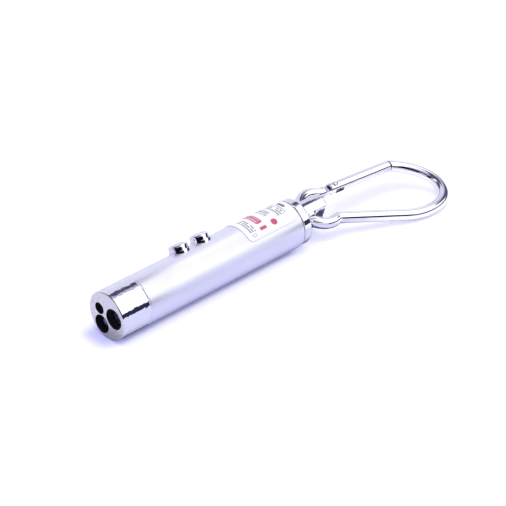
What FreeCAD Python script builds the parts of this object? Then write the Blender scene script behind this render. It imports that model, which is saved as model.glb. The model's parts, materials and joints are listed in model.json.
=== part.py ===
import FreeCAD, Part
import math
import os
import re
import Sketcher

# Laser pointer keychain: a slim barrel with a three-lamp nose, two side
# buttons, a screwed tail cap and a sprung wire carabiner through its lug.
# Millimetres. The barrel's axis is X, from the nose face at X = 0 to the
# tail. +Z is up as the pointer lies on a table, on its barrel and on the
# carabiner's straight arm.

Z_AXIS = FreeCAD.Vector(0, 0, 1)

# Driving dimensions: alias, value, meaning.
SIZES = [
    ("barrel_radius", 7.0, "outside radius of the barrel and of the nose head"),
    ("barrel_wall", 0.45, "wall of the drawn barrel tube"),
    ("barrel_length", 56.4, "length of the barrel tube"),
    ("running_gap", 0.05, "radial clearance of pieces that slide into each other"),
    ("seam_gap", 0.1, "clearance between end faces"),
    ("nose_length", 9.7, "visible length of the nose head"),
    ("nose_spigot", 4.0, "length of the nose's spigot inside the barrel"),
    ("nose_round", 0.35, "rounded rim of the nose face"),
    ("seam_bevel", 0.1, "depth of the slight bevels where the nose head and the tube meet"),
    ("seam_reach", 0.3, "length of those bevels along the barrel"),
    ("laser_aperture", 1.7, "radius of the laser's hole in the nose face"),
    ("laser_shift", -0.4, "how far out of the middle of the barrel's radius the laser is"),
    ("laser_angle", 35.0, "direction of the laser, from the button line"),
    ("laser_lip", 1.2, "thickness of the face in front of the laser module"),
    ("lamp_rim", 0.65, "wall outside the bore of the lamp that stands farthest out"),
    ("lamp_length", 8.6, "length of a lamp from dome to base"),
    ("white_shift", -0.6, "how far out of that middle the white lamp is"),
    ("white_angle", -111.5, "direction of the white lamp, from the button line"),
    ("white_window", 0.5, "how much wider than its bore the white lamp's window is"),
    ("white_depth", 1.7, "how deep the white lamp's dome sits"),
    ("violet_shift", 0.35, "how far out of that middle the ultraviolet lamp is"),
    ("violet_angle", 117.5, "direction of the ultraviolet lamp"),
    ("violet_window", 0.2, "how much wider than its bore the ultraviolet lamp's window is"),
    ("violet_depth", 1.2, "how deep the ultraviolet lamp's dome sits"),
    ("window_depth", 1.1, "depth of both lamp windows in the nose face"),
    ("lead_pitch", 2.54, "distance between a lamp's two leads"),
    ("lead_side", 0.5, "side of a lead's square section"),
    ("button_roll", 31.0, "how far the button line is rolled back from vertical"),
    ("button_radius", 2.7, "radius of a button's cap"),
    ("button_height", 1.95, "height of a button above the barrel"),
    ("button_round", 0.6, "rounded edge of a button's cap"),
    ("button_crown", 0.12, "rise of a button's slightly domed top"),
    ("button_back", 7.35, "distance of the rear button from the carrier's rear wall"),
    ("button_pitch", 7.6, "distance between the two buttons"),
    ("foot_radius", 3.1, "radius of the flange that keeps a button in"),
    ("foot_height", 0.5, "thickness of that flange"),
    ("foot_gap", 0.05, "clearance between that flange's top and the barrel's bore"),
    ("button_travel", 0.4, "how far a button goes in"),
    ("collar_radius", 3.1, "outside radius of the collar round a button"),
    ("collar_height", 0.15, "height of the collar above the barrel's crest"),
    ("collar_sleeve", 0.15, "wall of the collar's sleeve in the barrel hole"),
    ("stem_radius", 1.1, "radius of a switch's stem"),
    ("stem_length", 1.5, "length of a switch's stem"),
    ("switch_size", 4.4, "side of a switch's square case"),
    ("switch_height", 1.7, "height of a switch's case"),
    ("switch_floor", 0.3, "floor under the stem in a switch's case"),
    ("switch_bevel", 0.25, "bevelled upright edges of a switch's case"),
    ("switch_gap", 0.5, "space between a pressed button's flange and its switch's case"),
    ("board_thickness", 0.8, "thickness of both circuit boards"),
    ("board_margin", 0.7, "space on each side of the main circuit board"),
    ("chip_length", 1.6, "length of a chip on the board"),
    ("chip_width", 2.4, "width of a chip"),
    ("chip_height", 0.7, "height of a chip"),
    ("chip_gap", 0.4, "space in front of each chip"),
    ("carrier_wall", 1.0, "thickness of the carrier's rear wall"),
    ("trough_wall", 2.5, "length of solid carrier at each end of its hollow"),
    ("trough_width", 7.0, "width of the hollow in the carrier"),
    ("trough_floor", -3.2, "height of the hollow's floor"),
    ("module_radius", 1.9, "outside radius of the laser module"),
    ("module_wall", 0.25, "wall of the laser module's tube"),
    ("module_length", 7.6, "length of the laser module's tube"),
    ("lens_thickness", 1.1, "thickness of the collimating lens"),
    ("diode_length", 2.0, "length of the laser diode's can"),
    ("diode_can", 1.1, "radius of the laser diode's can"),
    ("diode_base", 0.6, "thickness of the laser diode's base"),
    ("diode_leg", 0.22, "radius of one of the laser diode's legs"),
    ("diode_pitch", 0.7, "distance of those legs from the diode's axis"),
    ("fine_wire", 0.12, "radius of the wire of the lens spring and the gate spring"),
    ("coil_gap", 0.15, "clearance between a coil spring and the wall round it"),
    ("cell_gap", 0.15, "clearance between the cells and their sleeve"),
    ("cell_length", 5.4, "thickness of a button cell"),
    ("cell_count", 3, "number of button cells in line"),
    ("cell_rim", 0.9, "width of the step round a cell's negative cap"),
    ("cell_step", 0.3, "height of a cell's negative cap"),
    ("cell_bevel", 0.4, "bevelled edges of a cell's can"),
    ("cell_play", 0.9, "space between the last cell and the tail cap"),
    ("sleeve_wall", 0.5, "wall of the plastic sleeve round the cells"),
    ("contact_length", 1.0, "depth of the front contact"),
    ("contact_rim", 4.2, "outside radius of the front contact"),
    ("contact_throat", 2.4, "radius where the front contact leaves the carrier"),
    ("contact_nose", 1.2, "radius of the front contact's flat middle"),
    ("contact_gauge", 0.3, "sheet thickness of the front contact"),
    ("label_margin", 0.5, "distance of the label from the tube's rear end"),
    ("label_length", 18.8, "length of the label"),
    ("label_span", 162.0, "angle that the label goes round the barrel"),
    ("label_thickness", 0.08, "thickness of the paper label"),
    ("label_corner", 1.6, "rounded corners of the label"),
    ("paper_gap", 0.02, "glue line under the label"),
    ("trim", 0.2, "how far a cutting outline runs past the edge it cuts"),
    ("tail_spigot", 3.2, "length of the tail cap's spigot in the barrel"),
    ("cavity_wall", 0.85, "wall between the ring's groove and the hollow in the tail cap"),
    ("cavity_depth", 2.1, "depth of the hollow in the tail cap"),
    ("tail_wire", 0.25, "radius of the contact spring's wire"),
    ("tail_wire_tip", 2.2, "radius of the contact spring's small end"),
    ("ring_wire", 0.5, "radius of the rubber ring's section"),
    ("ring_land", 0.4, "width of the land between the ring's groove and the flange"),
    ("flange_step", 0.2, "how much smaller than the barrel the tail cap's flange is"),
    ("flange_length", 2.8, "thickness of the tail cap's flange"),
    ("flange_round", 0.5, "rounded edges of the flange"),
    ("lug_radius", 4.64, "radius of the lug"),
    ("lug_length", 9.1, "length of the lug behind the flange"),
    ("lug_thickness", 4.7, "distance between the lug's two flats"),
    ("lug_shoulder", 1.0, "round stretch of the lug before its flats start"),
    ("lug_round", 0.45, "rounded edges of the lug's end"),
    ("lug_bore", 2.25, "radius of the hole for the carabiner"),
    ("lug_bore_round", 0.3, "rounded rims of that hole"),
    ("lug_bore_place", 4.1, "distance of that hole from the flange"),
    ("clip_tilt", 18.0, "slope of the carabiner's plane as it lies"),
    ("clip_yaw", -4.5, "turn of the gate's line in the carabiner's plane"),
    ("wire_radius", 1.7, "radius of the carabiner's wire"),
    ("eye_radius", 5.8, "radius of the carabiner's eye, at the wire's centre"),
    ("eye_shift", 5.43, "distance of the eye's centre behind the lug's hole"),
    ("crease_radius", 2.0, "radius where the eye turns into the arms"),
    ("gate_offset", 4.61, "distance of the gate's line from the eye's centre"),
    ("arm_offset", 3.85, "distance of the straight arm from the eye's centre"),
    ("wedge_angle", 22.66, "angle between the gate and the straight arm"),
    ("arm_length", 20.3, "length of the straight arm"),
    ("shoulder_radius", 17.4, "radius of the shoulders of the wide end"),
    ("shoulder_angle", 41.1, "turn of the first shoulder"),
    ("end_radius", 7.25, "radius of the wide end"),
    ("nose_slope", 24.6, "slope of the wire where it meets the gate"),
    ("nose_drop", 0.3, "how far the wire's centre is inside the gate's line"),
    ("nose_cut", 0.3, "where the flat nose face is past the last bend"),
    ("pivot_place", 8.98, "distance of the gate's pivot from the eye's centre"),
    ("wire_end", 5.28, "where the round wire ends and its tang begins"),
    ("wire_round", 0.4, "rounded edge of the wire's end"),
    ("root_length", 1.5, "how far the tang and the tongue reach into the wire"),
    ("tang_thickness", 1.2, "thickness of the tang and of the nose tongue"),
    ("tang_radius", 1.15, "radius of the tang's end round the pivot"),
    ("slot_gap", 0.1, "clearance on each side of the tang and of the tongue"),
    ("gate_tail", 1.83, "length of the gate before its pivot"),
    ("gate_gap", 0.15, "clearance between the gate and the nose"),
    ("gate_round", 0.35, "rounded edges of the gate's ends"),
    ("fork_length", 4.3, "length of the slot in the gate's fork"),
    ("fork_roof", 1.3, "height of the fork's slot above the gate's axis"),
    ("tongue_length", 1.5, "length of the nose tongue"),
    ("tongue_floor", -0.3, "height of the tongue's underside on the gate"),
    ("tongue_top", 1.1, "height of the tongue's top on the gate"),
    ("tongue_gap", 0.5, "clearance in front of the tongue"),
    ("gate_bore", 0.95, "radius of the spring's bore in the gate"),
    ("gate_bore_depth", 10.4, "depth of that bore from the gate's pivot end"),
    ("plunger_radius", 0.6, "radius of the pin that pushes on the tang"),
    ("plunger_length", 3.2, "length of that pin"),
    ("plunger_head", 0.9, "length of the pin's head"),
    ("plunger_bevel", 0.2, "bevelled tip of the pin"),
    ("rivet_radius", 0.6, "radius of the gate's rivet"),
    ("rivet_head", 0.9, "radius of the rivet's heads"),
    ("rivet_dome", 0.65, "height of the rivet's heads"),
    ("rivet_seat", 1.5, "height of the seats under the rivet's heads"),
]

ALIASES = {alias for alias, _, _ in SIZES}

doc = FreeCAD.newDocument("laser_pointer_keychain")
sheet = doc.addObject("Spreadsheet::Sheet", "Sizes")
for row, (alias, number, meaning) in enumerate(SIZES, start=1):
    sheet.set(f"A{row}", meaning)
    sheet.set(f"B{row}", str(number))
    sheet.setAlias(f"B{row}", alias)
doc.recompute()

parts = []


# Sizes in expressions

def spelled(expression):
    """An expression with each size's name led back to the sheet."""
    def lead_back(match):
        word = match.group(0)
        return f"Sizes.{word}" if word in ALIASES else word
    return re.sub(r"[a-z_]+", lead_back, str(expression))


def size(expression):
    """The present value of an expression of sizes."""
    return float(sheet.evalExpression(str(expression)))


def bind(feature, path, expression):
    feature.setExpression(path, spelled(expression))


# Sketches

def sketch_on(body, role, shift="0", roll="0"):
    """A sketch on one of the body's own origin planes, moved along its normal
    or rolled round X."""
    sketch = body.newObject("Sketcher::SketchObject", f"{body.Name}_sketch")
    plane = [item for item in body.Origin.OriginFeatures if item.Role == role][0]
    sketch.AttachmentSupport = [(plane, "")]
    sketch.MapMode = "FlatFace"
    if shift != "0":
        bind(sketch, "AttachmentOffset.Base.z", shift)
    if roll != "0":
        bind(sketch, "AttachmentOffset", placed("0", angle=roll))
    return sketch


def hold_point(sketch, edge, end, across, up):
    """Holds one end of an edge at a place given by two expressions."""
    axes = (("DistanceX", across, -2), ("DistanceY", up, -1))
    for kind, expression, axis in axes:
        if expression == "0":
            sketch.addConstraint(Sketcher.Constraint("PointOnObject", edge, end, axis))
            continue
        rule = Sketcher.Constraint(kind, -1, 1, edge, end, size(expression))
        index = sketch.addConstraint(rule)
        bind(sketch, f"Constraints[{index}]", expression)


def bulge_point(start, finish, radius):
    """The middle of the minor arc from start to finish. A positive radius
    turns left on the way, a negative one right."""
    chord = finish - start
    rise = abs(radius) - math.sqrt(max(0.0, radius ** 2 - chord.Length ** 2 / 4))
    side = FreeCAD.Vector(chord.y, -chord.x, 0).normalize()
    return (start + finish) * 0.5 + side * math.copysign(rise, radius)


def outline(sketch, corners):
    """A closed outline through corners (across, up). A corner with a third
    value is reached along an arc of that radius."""
    spots = [FreeCAD.Vector(size(corner[0]), size(corner[1]), 0) for corner in corners]
    ends = []
    for index, corner in enumerate(corners):
        start = spots[index - 1]
        finish = spots[index]
        if len(corner) == 2:
            edge = sketch.addGeometry(Part.LineSegment(start, finish))
        else:
            middle = bulge_point(start, finish, size(corner[2]))
            edge = sketch.addGeometry(Part.Arc(start, middle, finish))
        first = 1 if (sketch.getPoint(edge, 1) - start).Length < 1e-6 else 2
        ends.append((edge, first, 3 - first))
    for index, (edge, first, last) in enumerate(ends):
        before = ends[index - 1]
        sketch.addConstraint(Sketcher.Constraint("Coincident", before[0], before[2], edge, first))
        corner = corners[index]
        hold_point(sketch, edge, last, corner[0], corner[1])
        if len(corner) == 3:
            rule = Sketcher.Constraint("Radius", edge, abs(size(corner[2])))
            place = sketch.addConstraint(rule)
            bind(sketch, f"Constraints[{place}]", f"abs({corner[2]})")
    return sketch


def rectangle(sketch, left, low, right, top):
    return outline(sketch, [(left, low), (right, low), (right, top), (left, top)])


def circle(sketch, across, up, radius):
    centre = FreeCAD.Vector(size(across), size(up), 0)
    edge = sketch.addGeometry(Part.Circle(centre, Z_AXIS, size(radius)))
    index = sketch.addConstraint(Sketcher.Constraint("Radius", edge, size(radius)))
    bind(sketch, f"Constraints[{index}]", radius)
    hold_point(sketch, edge, 3, across, up)
    return sketch


# Features

def new_body(name):
    body = doc.addObject("PartDesign::Body", name)
    body.Label = name
    parts.append(body)
    return body


def ball_radius(half_width, rise):
    """The radius of a dome with its centre on its own axis."""
    return f"(({half_width} ^ 2 + {rise} ^ 2) / (2 * {rise}))"


def revolve(body, sketch, axis="H_Axis", angle="360", kind="Revolution"):
    feature = body.newObject(f"PartDesign::{kind}", f"{body.Name}_{kind.lower()}")
    feature.Profile = (sketch, [""])
    feature.ReferenceAxis = (sketch, [axis])
    bind(feature, "Angle", angle)
    feature.Midplane = angle != "360"
    return feature


def extrude(body, sketch, length, kind="Pad", both_ways=False, turned=False):
    feature = body.newObject(f"PartDesign::{kind}", f"{body.Name}_{kind.lower()}")
    feature.Profile = (sketch, [""])
    bind(feature, "Length", length)
    feature.Midplane = both_ways
    feature.Reversed = turned
    return feature


def cut(body, sketch, length, both_ways=False, turned=False):
    """A pocket that must take material away."""
    doc.recompute()
    before = body.Shape.Volume
    feature = extrude(body, sketch, length, "Pocket", both_ways, turned)
    doc.recompute()
    if body.Shape.Volume > before - 1e-4:
        raise RuntimeError(f"a pocket of {body.Label} cuts nothing")
    return feature


def edges_where(feature, test):
    """Names of the edges whose middle and curve pass a test."""
    names = []
    for index, edge in enumerate(feature.Shape.Edges, start=1):
        middle = edge.valueAt((edge.FirstParameter + edge.LastParameter) / 2)
        if test(edge, middle):
            names.append(f"Edge{index}")
    return names


def dress(body, kind, amount, test):
    """Rounds or bevels the edges that pass a test."""
    doc.recompute()
    base = body.Tip
    names = edges_where(base, test)
    if not names:
        raise RuntimeError(f"no edge of {body.Label} to dress")
    feature = body.newObject(f"PartDesign::{kind}", f"{body.Name}_{kind.lower()}")
    feature.Base = (base, names)
    bind(feature, "Radius" if kind == "Fillet" else "Size", amount)
    return feature


def ring_at(x_place, radius):
    """A test for a full circle round X at a place and with a radius."""
    def test(edge, middle):
        round_edge = isinstance(edge.Curve, Part.Circle)
        at_place = abs(edge.BoundBox.Center.x - x_place) < 1e-4
        return round_edge and at_place and abs(edge.Curve.Radius - radius) < 1e-4
    return test


# Frames. Each is an expression for a Placement.

def placed(across, right="0", up="0", axis="1; 0; 0", angle="0"):
    base = f"create(<<vector>>; {across}; {right}; {up})"
    turn = f"create(<<rotation>>; create(<<vector>>; {axis}); {angle})"
    return f"create(<<placement>>; {base}; {turn})"


def barrel_frame(feature, across="0", right="0", up="0"):
    """+Z is the button line, which is rolled back round the barrel's axis."""
    roll = placed("0", angle="-button_roll")
    bind(feature, "Placement", f"{roll} * {placed(across, right, up)}")


def tail_frame(feature, across="0"):
    """+Y is the axis of the lug's hole."""
    bind(feature, "Placement", placed(across, angle="clip_tilt"))


def clip_frame(feature, along="0", out="0"):
    """Origin at the eye's centre, X along the gate, Z square to the wire's plane."""
    tilt = placed(EYE_PLACE, angle="clip_tilt")
    yaw = placed("0", axis="0; 0; 1", angle="clip_yaw")
    bind(feature, "Placement", f"{tilt} * {yaw} * {placed(along, out)}")


BARREL_BORE = "(barrel_radius - barrel_wall)"
BARREL_END = "(nose_length + barrel_length)"
SPIGOT_RADIUS = "(barrel_radius - barrel_wall - running_gap)"
LINER_RADIUS = "(barrel_radius - barrel_wall - 2 * running_gap)"
SPIGOT_END = "(nose_length + nose_spigot)"
BOARD_START = "(nose_length + nose_spigot + board_thickness)"
FLANGE_START = "(nose_length + barrel_length + seam_gap)"
FLANGE_RADIUS = "(barrel_radius - flange_step)"
LUG_START = "(nose_length + barrel_length + seam_gap + flange_length)"
EYE_PLACE = f"({LUG_START} + lug_bore_place + eye_shift)"
CELLS_END = f"({FLANGE_START} - tail_spigot - cell_play)"
CELLS_START = f"({CELLS_END} - cell_count * cell_length)"
CARRIER_END = f"({CELLS_START} - contact_length)"
REAR_BUTTON = f"({CARRIER_END} - carrier_wall - button_back)"
FRONT_BUTTON = f"({CARRIER_END} - carrier_wall - button_back - button_pitch)"
LABEL_END = f"({BARREL_END} - label_margin)"
LABEL_START = f"({BARREL_END} - label_margin - label_length)"
SLEEVE_BORE = "(button_radius + running_gap)"
FOOT_TOP = f"(sqrt({BARREL_BORE} ^ 2 - foot_radius ^ 2) - foot_gap)"
FOOT_LOW = f"({FOOT_TOP} - foot_height)"
BOARD_TOP = f"({FOOT_LOW} - button_travel - switch_gap - switch_height)"


def polar(shift, angle):
    """Expressions for a place in the nose face: a shift from the middle of
    the barrel's radius, and a direction."""
    offset = f"(barrel_radius / 2 + {shift})"
    return f"{offset} * sin({angle})", f"{offset} * cos({angle})"


LASER = polar("laser_shift", "laser_angle")
WHITE = polar("white_shift", "white_angle")
VIOLET = polar("violet_shift", "violet_angle")
LAMP_BORE = "(barrel_radius / 2 - violet_shift - lamp_rim)"
LAMP_RADIUS = f"({LAMP_BORE} - 2 * running_gap)"


# Nose and barrel

def nose_cap():
    body = new_body("nose_cap")
    revolve(body, outline(sketch_on(body, "XZ_Plane"), [
        ("0", "0"),
        ("0", "barrel_radius"),
        ("nose_length - seam_reach", "barrel_radius"),
        ("nose_length", "barrel_radius - seam_bevel"),
        ("nose_length", SPIGOT_RADIUS),
        (SPIGOT_END, SPIGOT_RADIUS),
        (SPIGOT_END, "0"),
    ]))
    through = sketch_on(body, "YZ_Plane")
    circle(through, *LASER, "laser_aperture")
    circle(through, *WHITE, LAMP_BORE)
    circle(through, *VIOLET, LAMP_BORE)
    cut(body, through, SPIGOT_END, turned=True)
    for place, wider in ((WHITE, "white_window"), (VIOLET, "violet_window")):
        window = circle(sketch_on(body, "YZ_Plane"), *place, f"{LAMP_BORE} + {wider}")
        cut(body, window, "window_depth", turned=True)
    seat = circle(sketch_on(body, "YZ_Plane", "laser_lip"), *LASER, "module_radius + running_gap")
    cut(body, seat, SPIGOT_END, turned=True)
    dress(body, "Fillet", "nose_round", ring_at(0, size("barrel_radius")))
    barrel_frame(body)


def barrel_tube():
    body = new_body("barrel_tube")
    revolve(body, outline(sketch_on(body, "XZ_Plane"), [
        ("nose_length", BARREL_BORE),
        ("nose_length", "barrel_radius - seam_bevel"),
        ("nose_length + seam_reach", "barrel_radius"),
        (f"{BARREL_END} - seam_bevel", "barrel_radius"),
        (BARREL_END, "barrel_radius - seam_bevel"),
        (BARREL_END, BARREL_BORE),
    ]))
    holes = sketch_on(body, "XY_Plane")
    for place in (FRONT_BUTTON, REAR_BUTTON):
        circle(holes, place, "0", f"{SLEEVE_BORE} + collar_sleeve + running_gap")
    cut(body, holes, "2 * barrel_radius", turned=True)
    barrel_frame(body)


def label():
    body = new_body("label")
    low = "(barrel_radius + paper_gap)"
    section = rectangle(sketch_on(body, "XZ_Plane"), LABEL_START, low, LABEL_END,
                        f"{low} + label_thickness")
    revolve(body, section, angle="label_span")
    for side in ("1", "-1"):
        corners = sketch_on(body, "XY_Plane", roll=f"{side} * label_span / 2")
        for end, inward in ((LABEL_START, "+"), (LABEL_END, "-")):
            outward = "-" if inward == "+" else "+"
            inner = f"{end} {inward} label_corner"
            outer = f"{end} {outward} trim"
            outline(corners, [
                (outer, f"{side} * label_corner"),
                (end, f"{side} * label_corner"),
                (inner, "0", f"{side} * {inward}label_corner"),
                (inner, f"-{side} * trim"),
                (outer, f"-{side} * trim"),
            ])
        cut(body, corners, "2 * barrel_radius", turned=True)
    barrel_frame(body)


# Buttons and their switches

def button(name, place):
    """A domed cap on a foot that the barrel keeps in."""
    body = new_body(name)
    crest = "(barrel_radius + button_height)"
    shoulder = f"({crest} - button_crown)"
    revolve(body, outline(sketch_on(body, "XZ_Plane"), [
        ("0", FOOT_LOW),
        ("foot_radius", FOOT_LOW),
        ("foot_radius", FOOT_TOP),
        ("button_radius", FOOT_TOP),
        ("button_radius", f"{shoulder} - button_round"),
        ("button_radius - button_round", shoulder, "button_round"),
        ("0", crest, ball_radius("(button_radius - button_round)", "button_crown")),
    ]), axis="V_Axis")
    barrel_frame(body, place)


def collar(name, place):
    """A ring that sits on the round barrel, with a sleeve in the barrel's hole."""
    body = new_body(name)
    top = "(barrel_radius + collar_height)"
    revolve(body, rectangle(sketch_on(body, "XZ_Plane"), SLEEVE_BORE, FOOT_TOP,
                            "collar_radius", top), axis="V_Axis")
    saddle = rectangle(sketch_on(body, "XZ_Plane"), "-2 * collar_radius", "0",
                       "2 * collar_radius", "barrel_radius + paper_gap")
    revolve(body, saddle, kind="Groove")
    revolve(body, rectangle(sketch_on(body, "XZ_Plane"), SLEEVE_BORE, f"{FOOT_TOP} + running_gap",
                            f"{SLEEVE_BORE} + collar_sleeve", top), axis="V_Axis")
    barrel_frame(body, place)


def switch_stem(name, place):
    """The stem under a button, which goes down with it."""
    stem = doc.addObject("Part::Cylinder", name)
    stem.Label = name
    bind(stem, "Radius", "stem_radius")
    bind(stem, "Height", "stem_length")
    barrel_frame(stem, place, up=f"{FOOT_LOW} - stem_length")
    parts.append(stem)


def switch(name, place):
    """A square case on the board, with a well for its stem."""
    body = new_body(name)
    half = "switch_size / 2"
    extrude(body, rectangle(sketch_on(body, "XY_Plane", BOARD_TOP), f"-{half}", f"-{half}",
                            half, half), "switch_height")
    well = circle(sketch_on(body, "XY_Plane", f"{BOARD_TOP} + switch_height"), "0", "0",
                  "stem_radius + 2 * running_gap")
    cut(body, well, "switch_height - switch_floor")
    dress(body, "Chamfer", "switch_bevel",
          lambda edge, middle: abs(edge.BoundBox.ZLength - size("switch_height")) < 1e-4
          and isinstance(edge.Curve, Part.Line))
    barrel_frame(body, place)


# Boards and what carries them

def main_board():
    body = new_body("main_board")
    half = f"(sqrt({LINER_RADIUS} ^ 2 - {BOARD_TOP} ^ 2) - board_margin)"
    section = rectangle(sketch_on(body, "XY_Plane", BOARD_TOP), f"{BOARD_START} + seam_gap",
                        f"-{half}", f"{CARRIER_END} - carrier_wall - seam_gap", half)
    extrude(body, section, "board_thickness", turned=True)
    barrel_frame(body)


def driver_chips():
    """The driver's chips, in a row on the board in front of the switches."""
    chips = []
    for index in range(3):
        chip = doc.addObject("Part::Box", f"chip_{index + 1}")
        bind(chip, "Length", "chip_length")
        bind(chip, "Width", "chip_width")
        bind(chip, "Height", "chip_height")
        place = f"{BOARD_START} + chip_gap + {index} * (chip_length + chip_gap)"
        bind(chip, "Placement", placed(place, "-chip_width / 2", BOARD_TOP))
        chips.append(chip)
    group = doc.addObject("Part::Compound", "driver_chips")
    group.Label = "driver_chips"
    group.Links = chips
    barrel_frame(group)
    parts.append(group)


def board_carrier():
    """A plastic half round that fills the barrel under the board, with a
    full round wall in front of the cells."""
    body = new_body("board_carrier")
    bed = f"({BOARD_TOP} - board_thickness - running_gap)"
    half = f"sqrt({LINER_RADIUS} ^ 2 - {bed} ^ 2)"
    section = outline(sketch_on(body, "YZ_Plane", f"{BOARD_START} + seam_gap"), [
        (f"-{half}", bed),
        ("0", f"-{LINER_RADIUS}", LINER_RADIUS),
        (half, bed, LINER_RADIUS),
    ])
    extrude(body, section, f"{CARRIER_END} - carrier_wall - {BOARD_START} - seam_gap")
    wall = circle(sketch_on(body, "YZ_Plane", CARRIER_END), "0", "0", LINER_RADIUS)
    extrude(body, wall, "carrier_wall", turned=True)
    trough = rectangle(sketch_on(body, "XY_Plane", "trough_floor"),
                       f"{BOARD_START} + trough_wall", "-trough_width / 2",
                       f"{CARRIER_END} - carrier_wall - trough_wall", "trough_width / 2")
    cut(body, trough, "barrel_radius", turned=True)
    barrel_frame(body)


def front_board():
    """The round board that the lamps and the laser are soldered to."""
    board = doc.addObject("Part::Cylinder", "front_board")
    board.Label = "front_board"
    bind(board, "Radius", LINER_RADIUS)
    bind(board, "Height", "board_thickness")
    bind(board, "Placement", placed(SPIGOT_END, axis="0; 1; 0", angle="90"))
    parts.append(board)


def lamp(name, depth, where):
    """A clear lamp with a domed front."""
    body = new_body(name)
    revolve(body, outline(sketch_on(body, "XZ_Plane"), [
        ("0", "0"),
        (LAMP_RADIUS, LAMP_RADIUS, f"-{LAMP_RADIUS}"),
        ("lamp_length", LAMP_RADIUS),
        ("lamp_length", "0"),
    ]))
    barrel_frame(body, depth, *where)


def led_leads():
    """Two square wires from each lamp to the round board."""
    wires = []
    for name, depth, where in (("white", "white_depth", WHITE), ("violet", "violet_depth", VIOLET)):
        for side in (-1, 1):
            wire = doc.addObject("Part::Box", f"{name}_lead_{side + 2}")
            bind(wire, "Length", f"{SPIGOT_END} - {depth} - lamp_length")
            bind(wire, "Width", "lead_side")
            bind(wire, "Height", "lead_side")
            right = f"{where[0]} + {side} * lead_pitch / 2 - lead_side / 2"
            up = f"{where[1]} - lead_side / 2"
            bind(wire, "Placement", placed(f"{depth} + lamp_length", right, up))
            wires.append(wire)
    group = doc.addObject("Part::Compound", "led_leads")
    group.Label = "led_leads"
    group.Links = wires
    barrel_frame(group)
    parts.append(group)


# Laser module

MODULE_START = "(laser_lip + seam_gap)"
MODULE_BORE = "(module_radius - module_wall)"
LENS_RADIUS = "(module_radius - module_wall - running_gap)"


def laser_housing():
    """A brass tube with a lip in front of its lens."""
    body = new_body("laser_housing")
    lip = "2 * module_wall"
    revolve(body, outline(sketch_on(body, "XZ_Plane"), [
        ("0", "module_radius - 3 * module_wall"),
        ("0", "module_radius"),
        ("module_length", "module_radius"),
        ("module_length", MODULE_BORE),
        (lip, MODULE_BORE),
        (lip, "module_radius - 3 * module_wall"),
    ]))
    barrel_frame(body, MODULE_START, *LASER)


def collimating_lens():
    """A flat-backed lens that bulges forwards."""
    body = new_body("collimating_lens")
    bulge = "(lens_thickness / 2)"
    revolve(body, outline(sketch_on(body, "XZ_Plane"), [
        ("0", "0"),
        (bulge, LENS_RADIUS, f"-{ball_radius(LENS_RADIUS, bulge)}"),
        ("lens_thickness", LENS_RADIUS),
        ("lens_thickness", "0"),
    ]))
    barrel_frame(body, f"{MODULE_START} + 2 * module_wall + running_gap", *LASER)


def laser_diode():
    """A can on a round base, with three legs to the round board."""
    body = new_body("laser_diode")
    revolve(body, outline(sketch_on(body, "XZ_Plane"), [
        ("0", "0"),
        ("0", "diode_can"),
        ("diode_length - diode_base", "diode_can"),
        ("diode_length - diode_base", LENS_RADIUS),
        ("diode_length", LENS_RADIUS),
        ("diode_length", "0"),
    ]))
    legs = sketch_on(body, "YZ_Plane", "diode_length")
    for across, up in (("-diode_pitch", "0"), ("diode_pitch", "0"), ("0", "diode_pitch")):
        circle(legs, across, up, "diode_leg")
    extrude(body, legs, f"{SPIGOT_END} - {MODULE_START} - module_length")
    barrel_frame(body, f"{MODULE_START} + module_length - diode_length", *LASER)


# Springs

def biarc(start, heading, finish, leaving):
    """Two tangent arcs from one point and heading to another."""
    span = finish - start
    both = heading + leaving
    spread = 2 * (1 - heading.dot(leaving))
    reach = (math.sqrt(span.dot(both) ** 2 + spread * span.dot(span)) - span.dot(both)) / spread
    joint = (start + heading * reach + finish - leaving * reach) * 0.5
    edges = []
    for tail, tip, control in ((start, joint, start + heading * reach),
                               (joint, finish, finish - leaving * reach)):
        half = (tip - tail) * 0.5
        rise = control - tail - half
        slant = math.atan2(rise.Length, half.Length)
        middle = tail + half + rise.normalize() * (half.Length * math.tan(slant / 2))
        edges.append(Part.Arc(tail, middle, tip).toShape())
    return edges


def coil(name, first_radius, last_radius, start, finish, wire, turns):
    """A coil spring of one round wire along X, from start to finish."""
    gauge = size(wire)
    length = size(finish) - size(start) - 2 * gauge
    narrow = size(first_radius)
    wide = size(last_radius)
    steps = 2 * turns

    def spot(step):
        angle = math.pi * step
        radius = narrow + (wide - narrow) * step / steps
        return FreeCAD.Vector(gauge + length * step / steps, radius * math.cos(angle),
                              radius * math.sin(angle))

    def course(step):
        small = 1e-4
        return (spot(step + small) - spot(step - small)).normalize()

    edges = []
    for step in range(steps):
        edges += biarc(spot(step), course(step), spot(step + 1), course(step + 1))
    ring = Part.Wire(Part.Circle(spot(0), course(0), gauge).toShape())
    spring = doc.addObject("Part::Feature", name)
    spring.Label = name
    spring.Shape = Part.Wire(edges).makePipeShell([ring], True, False)
    parts.append(spring)
    gap = math.hypot(length, abs(wide - narrow)) / turns - 2 * gauge
    print(f"{name}: gap between turns {gap:.2f} mm")
    return spring


def lens_spring():
    """The spring that keeps the lens off the diode."""
    start = f"({MODULE_START} + 2 * module_wall + 2 * running_gap + lens_thickness)"
    finish = f"({MODULE_START} + module_length - diode_length)"
    radius = f"{MODULE_BORE} - coil_gap - fine_wire"
    spring = coil("lens_spring", radius, radius, start, finish, "fine_wire", turns=3)
    barrel_frame(spring, start, *LASER)


def tail_spring():
    """The conical contact spring between the tail cap and the last cell."""
    start = f"({CELLS_END} + running_gap)"
    finish = f"({FLANGE_START} - tail_spigot + cavity_depth - seam_gap)"
    wide = f"{TAIL_CAVITY} - coil_gap - tail_wire"
    spring = coil("tail_spring", "tail_wire_tip", wide, start, finish, "tail_wire", turns=3)
    tail_frame(spring, start)


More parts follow.
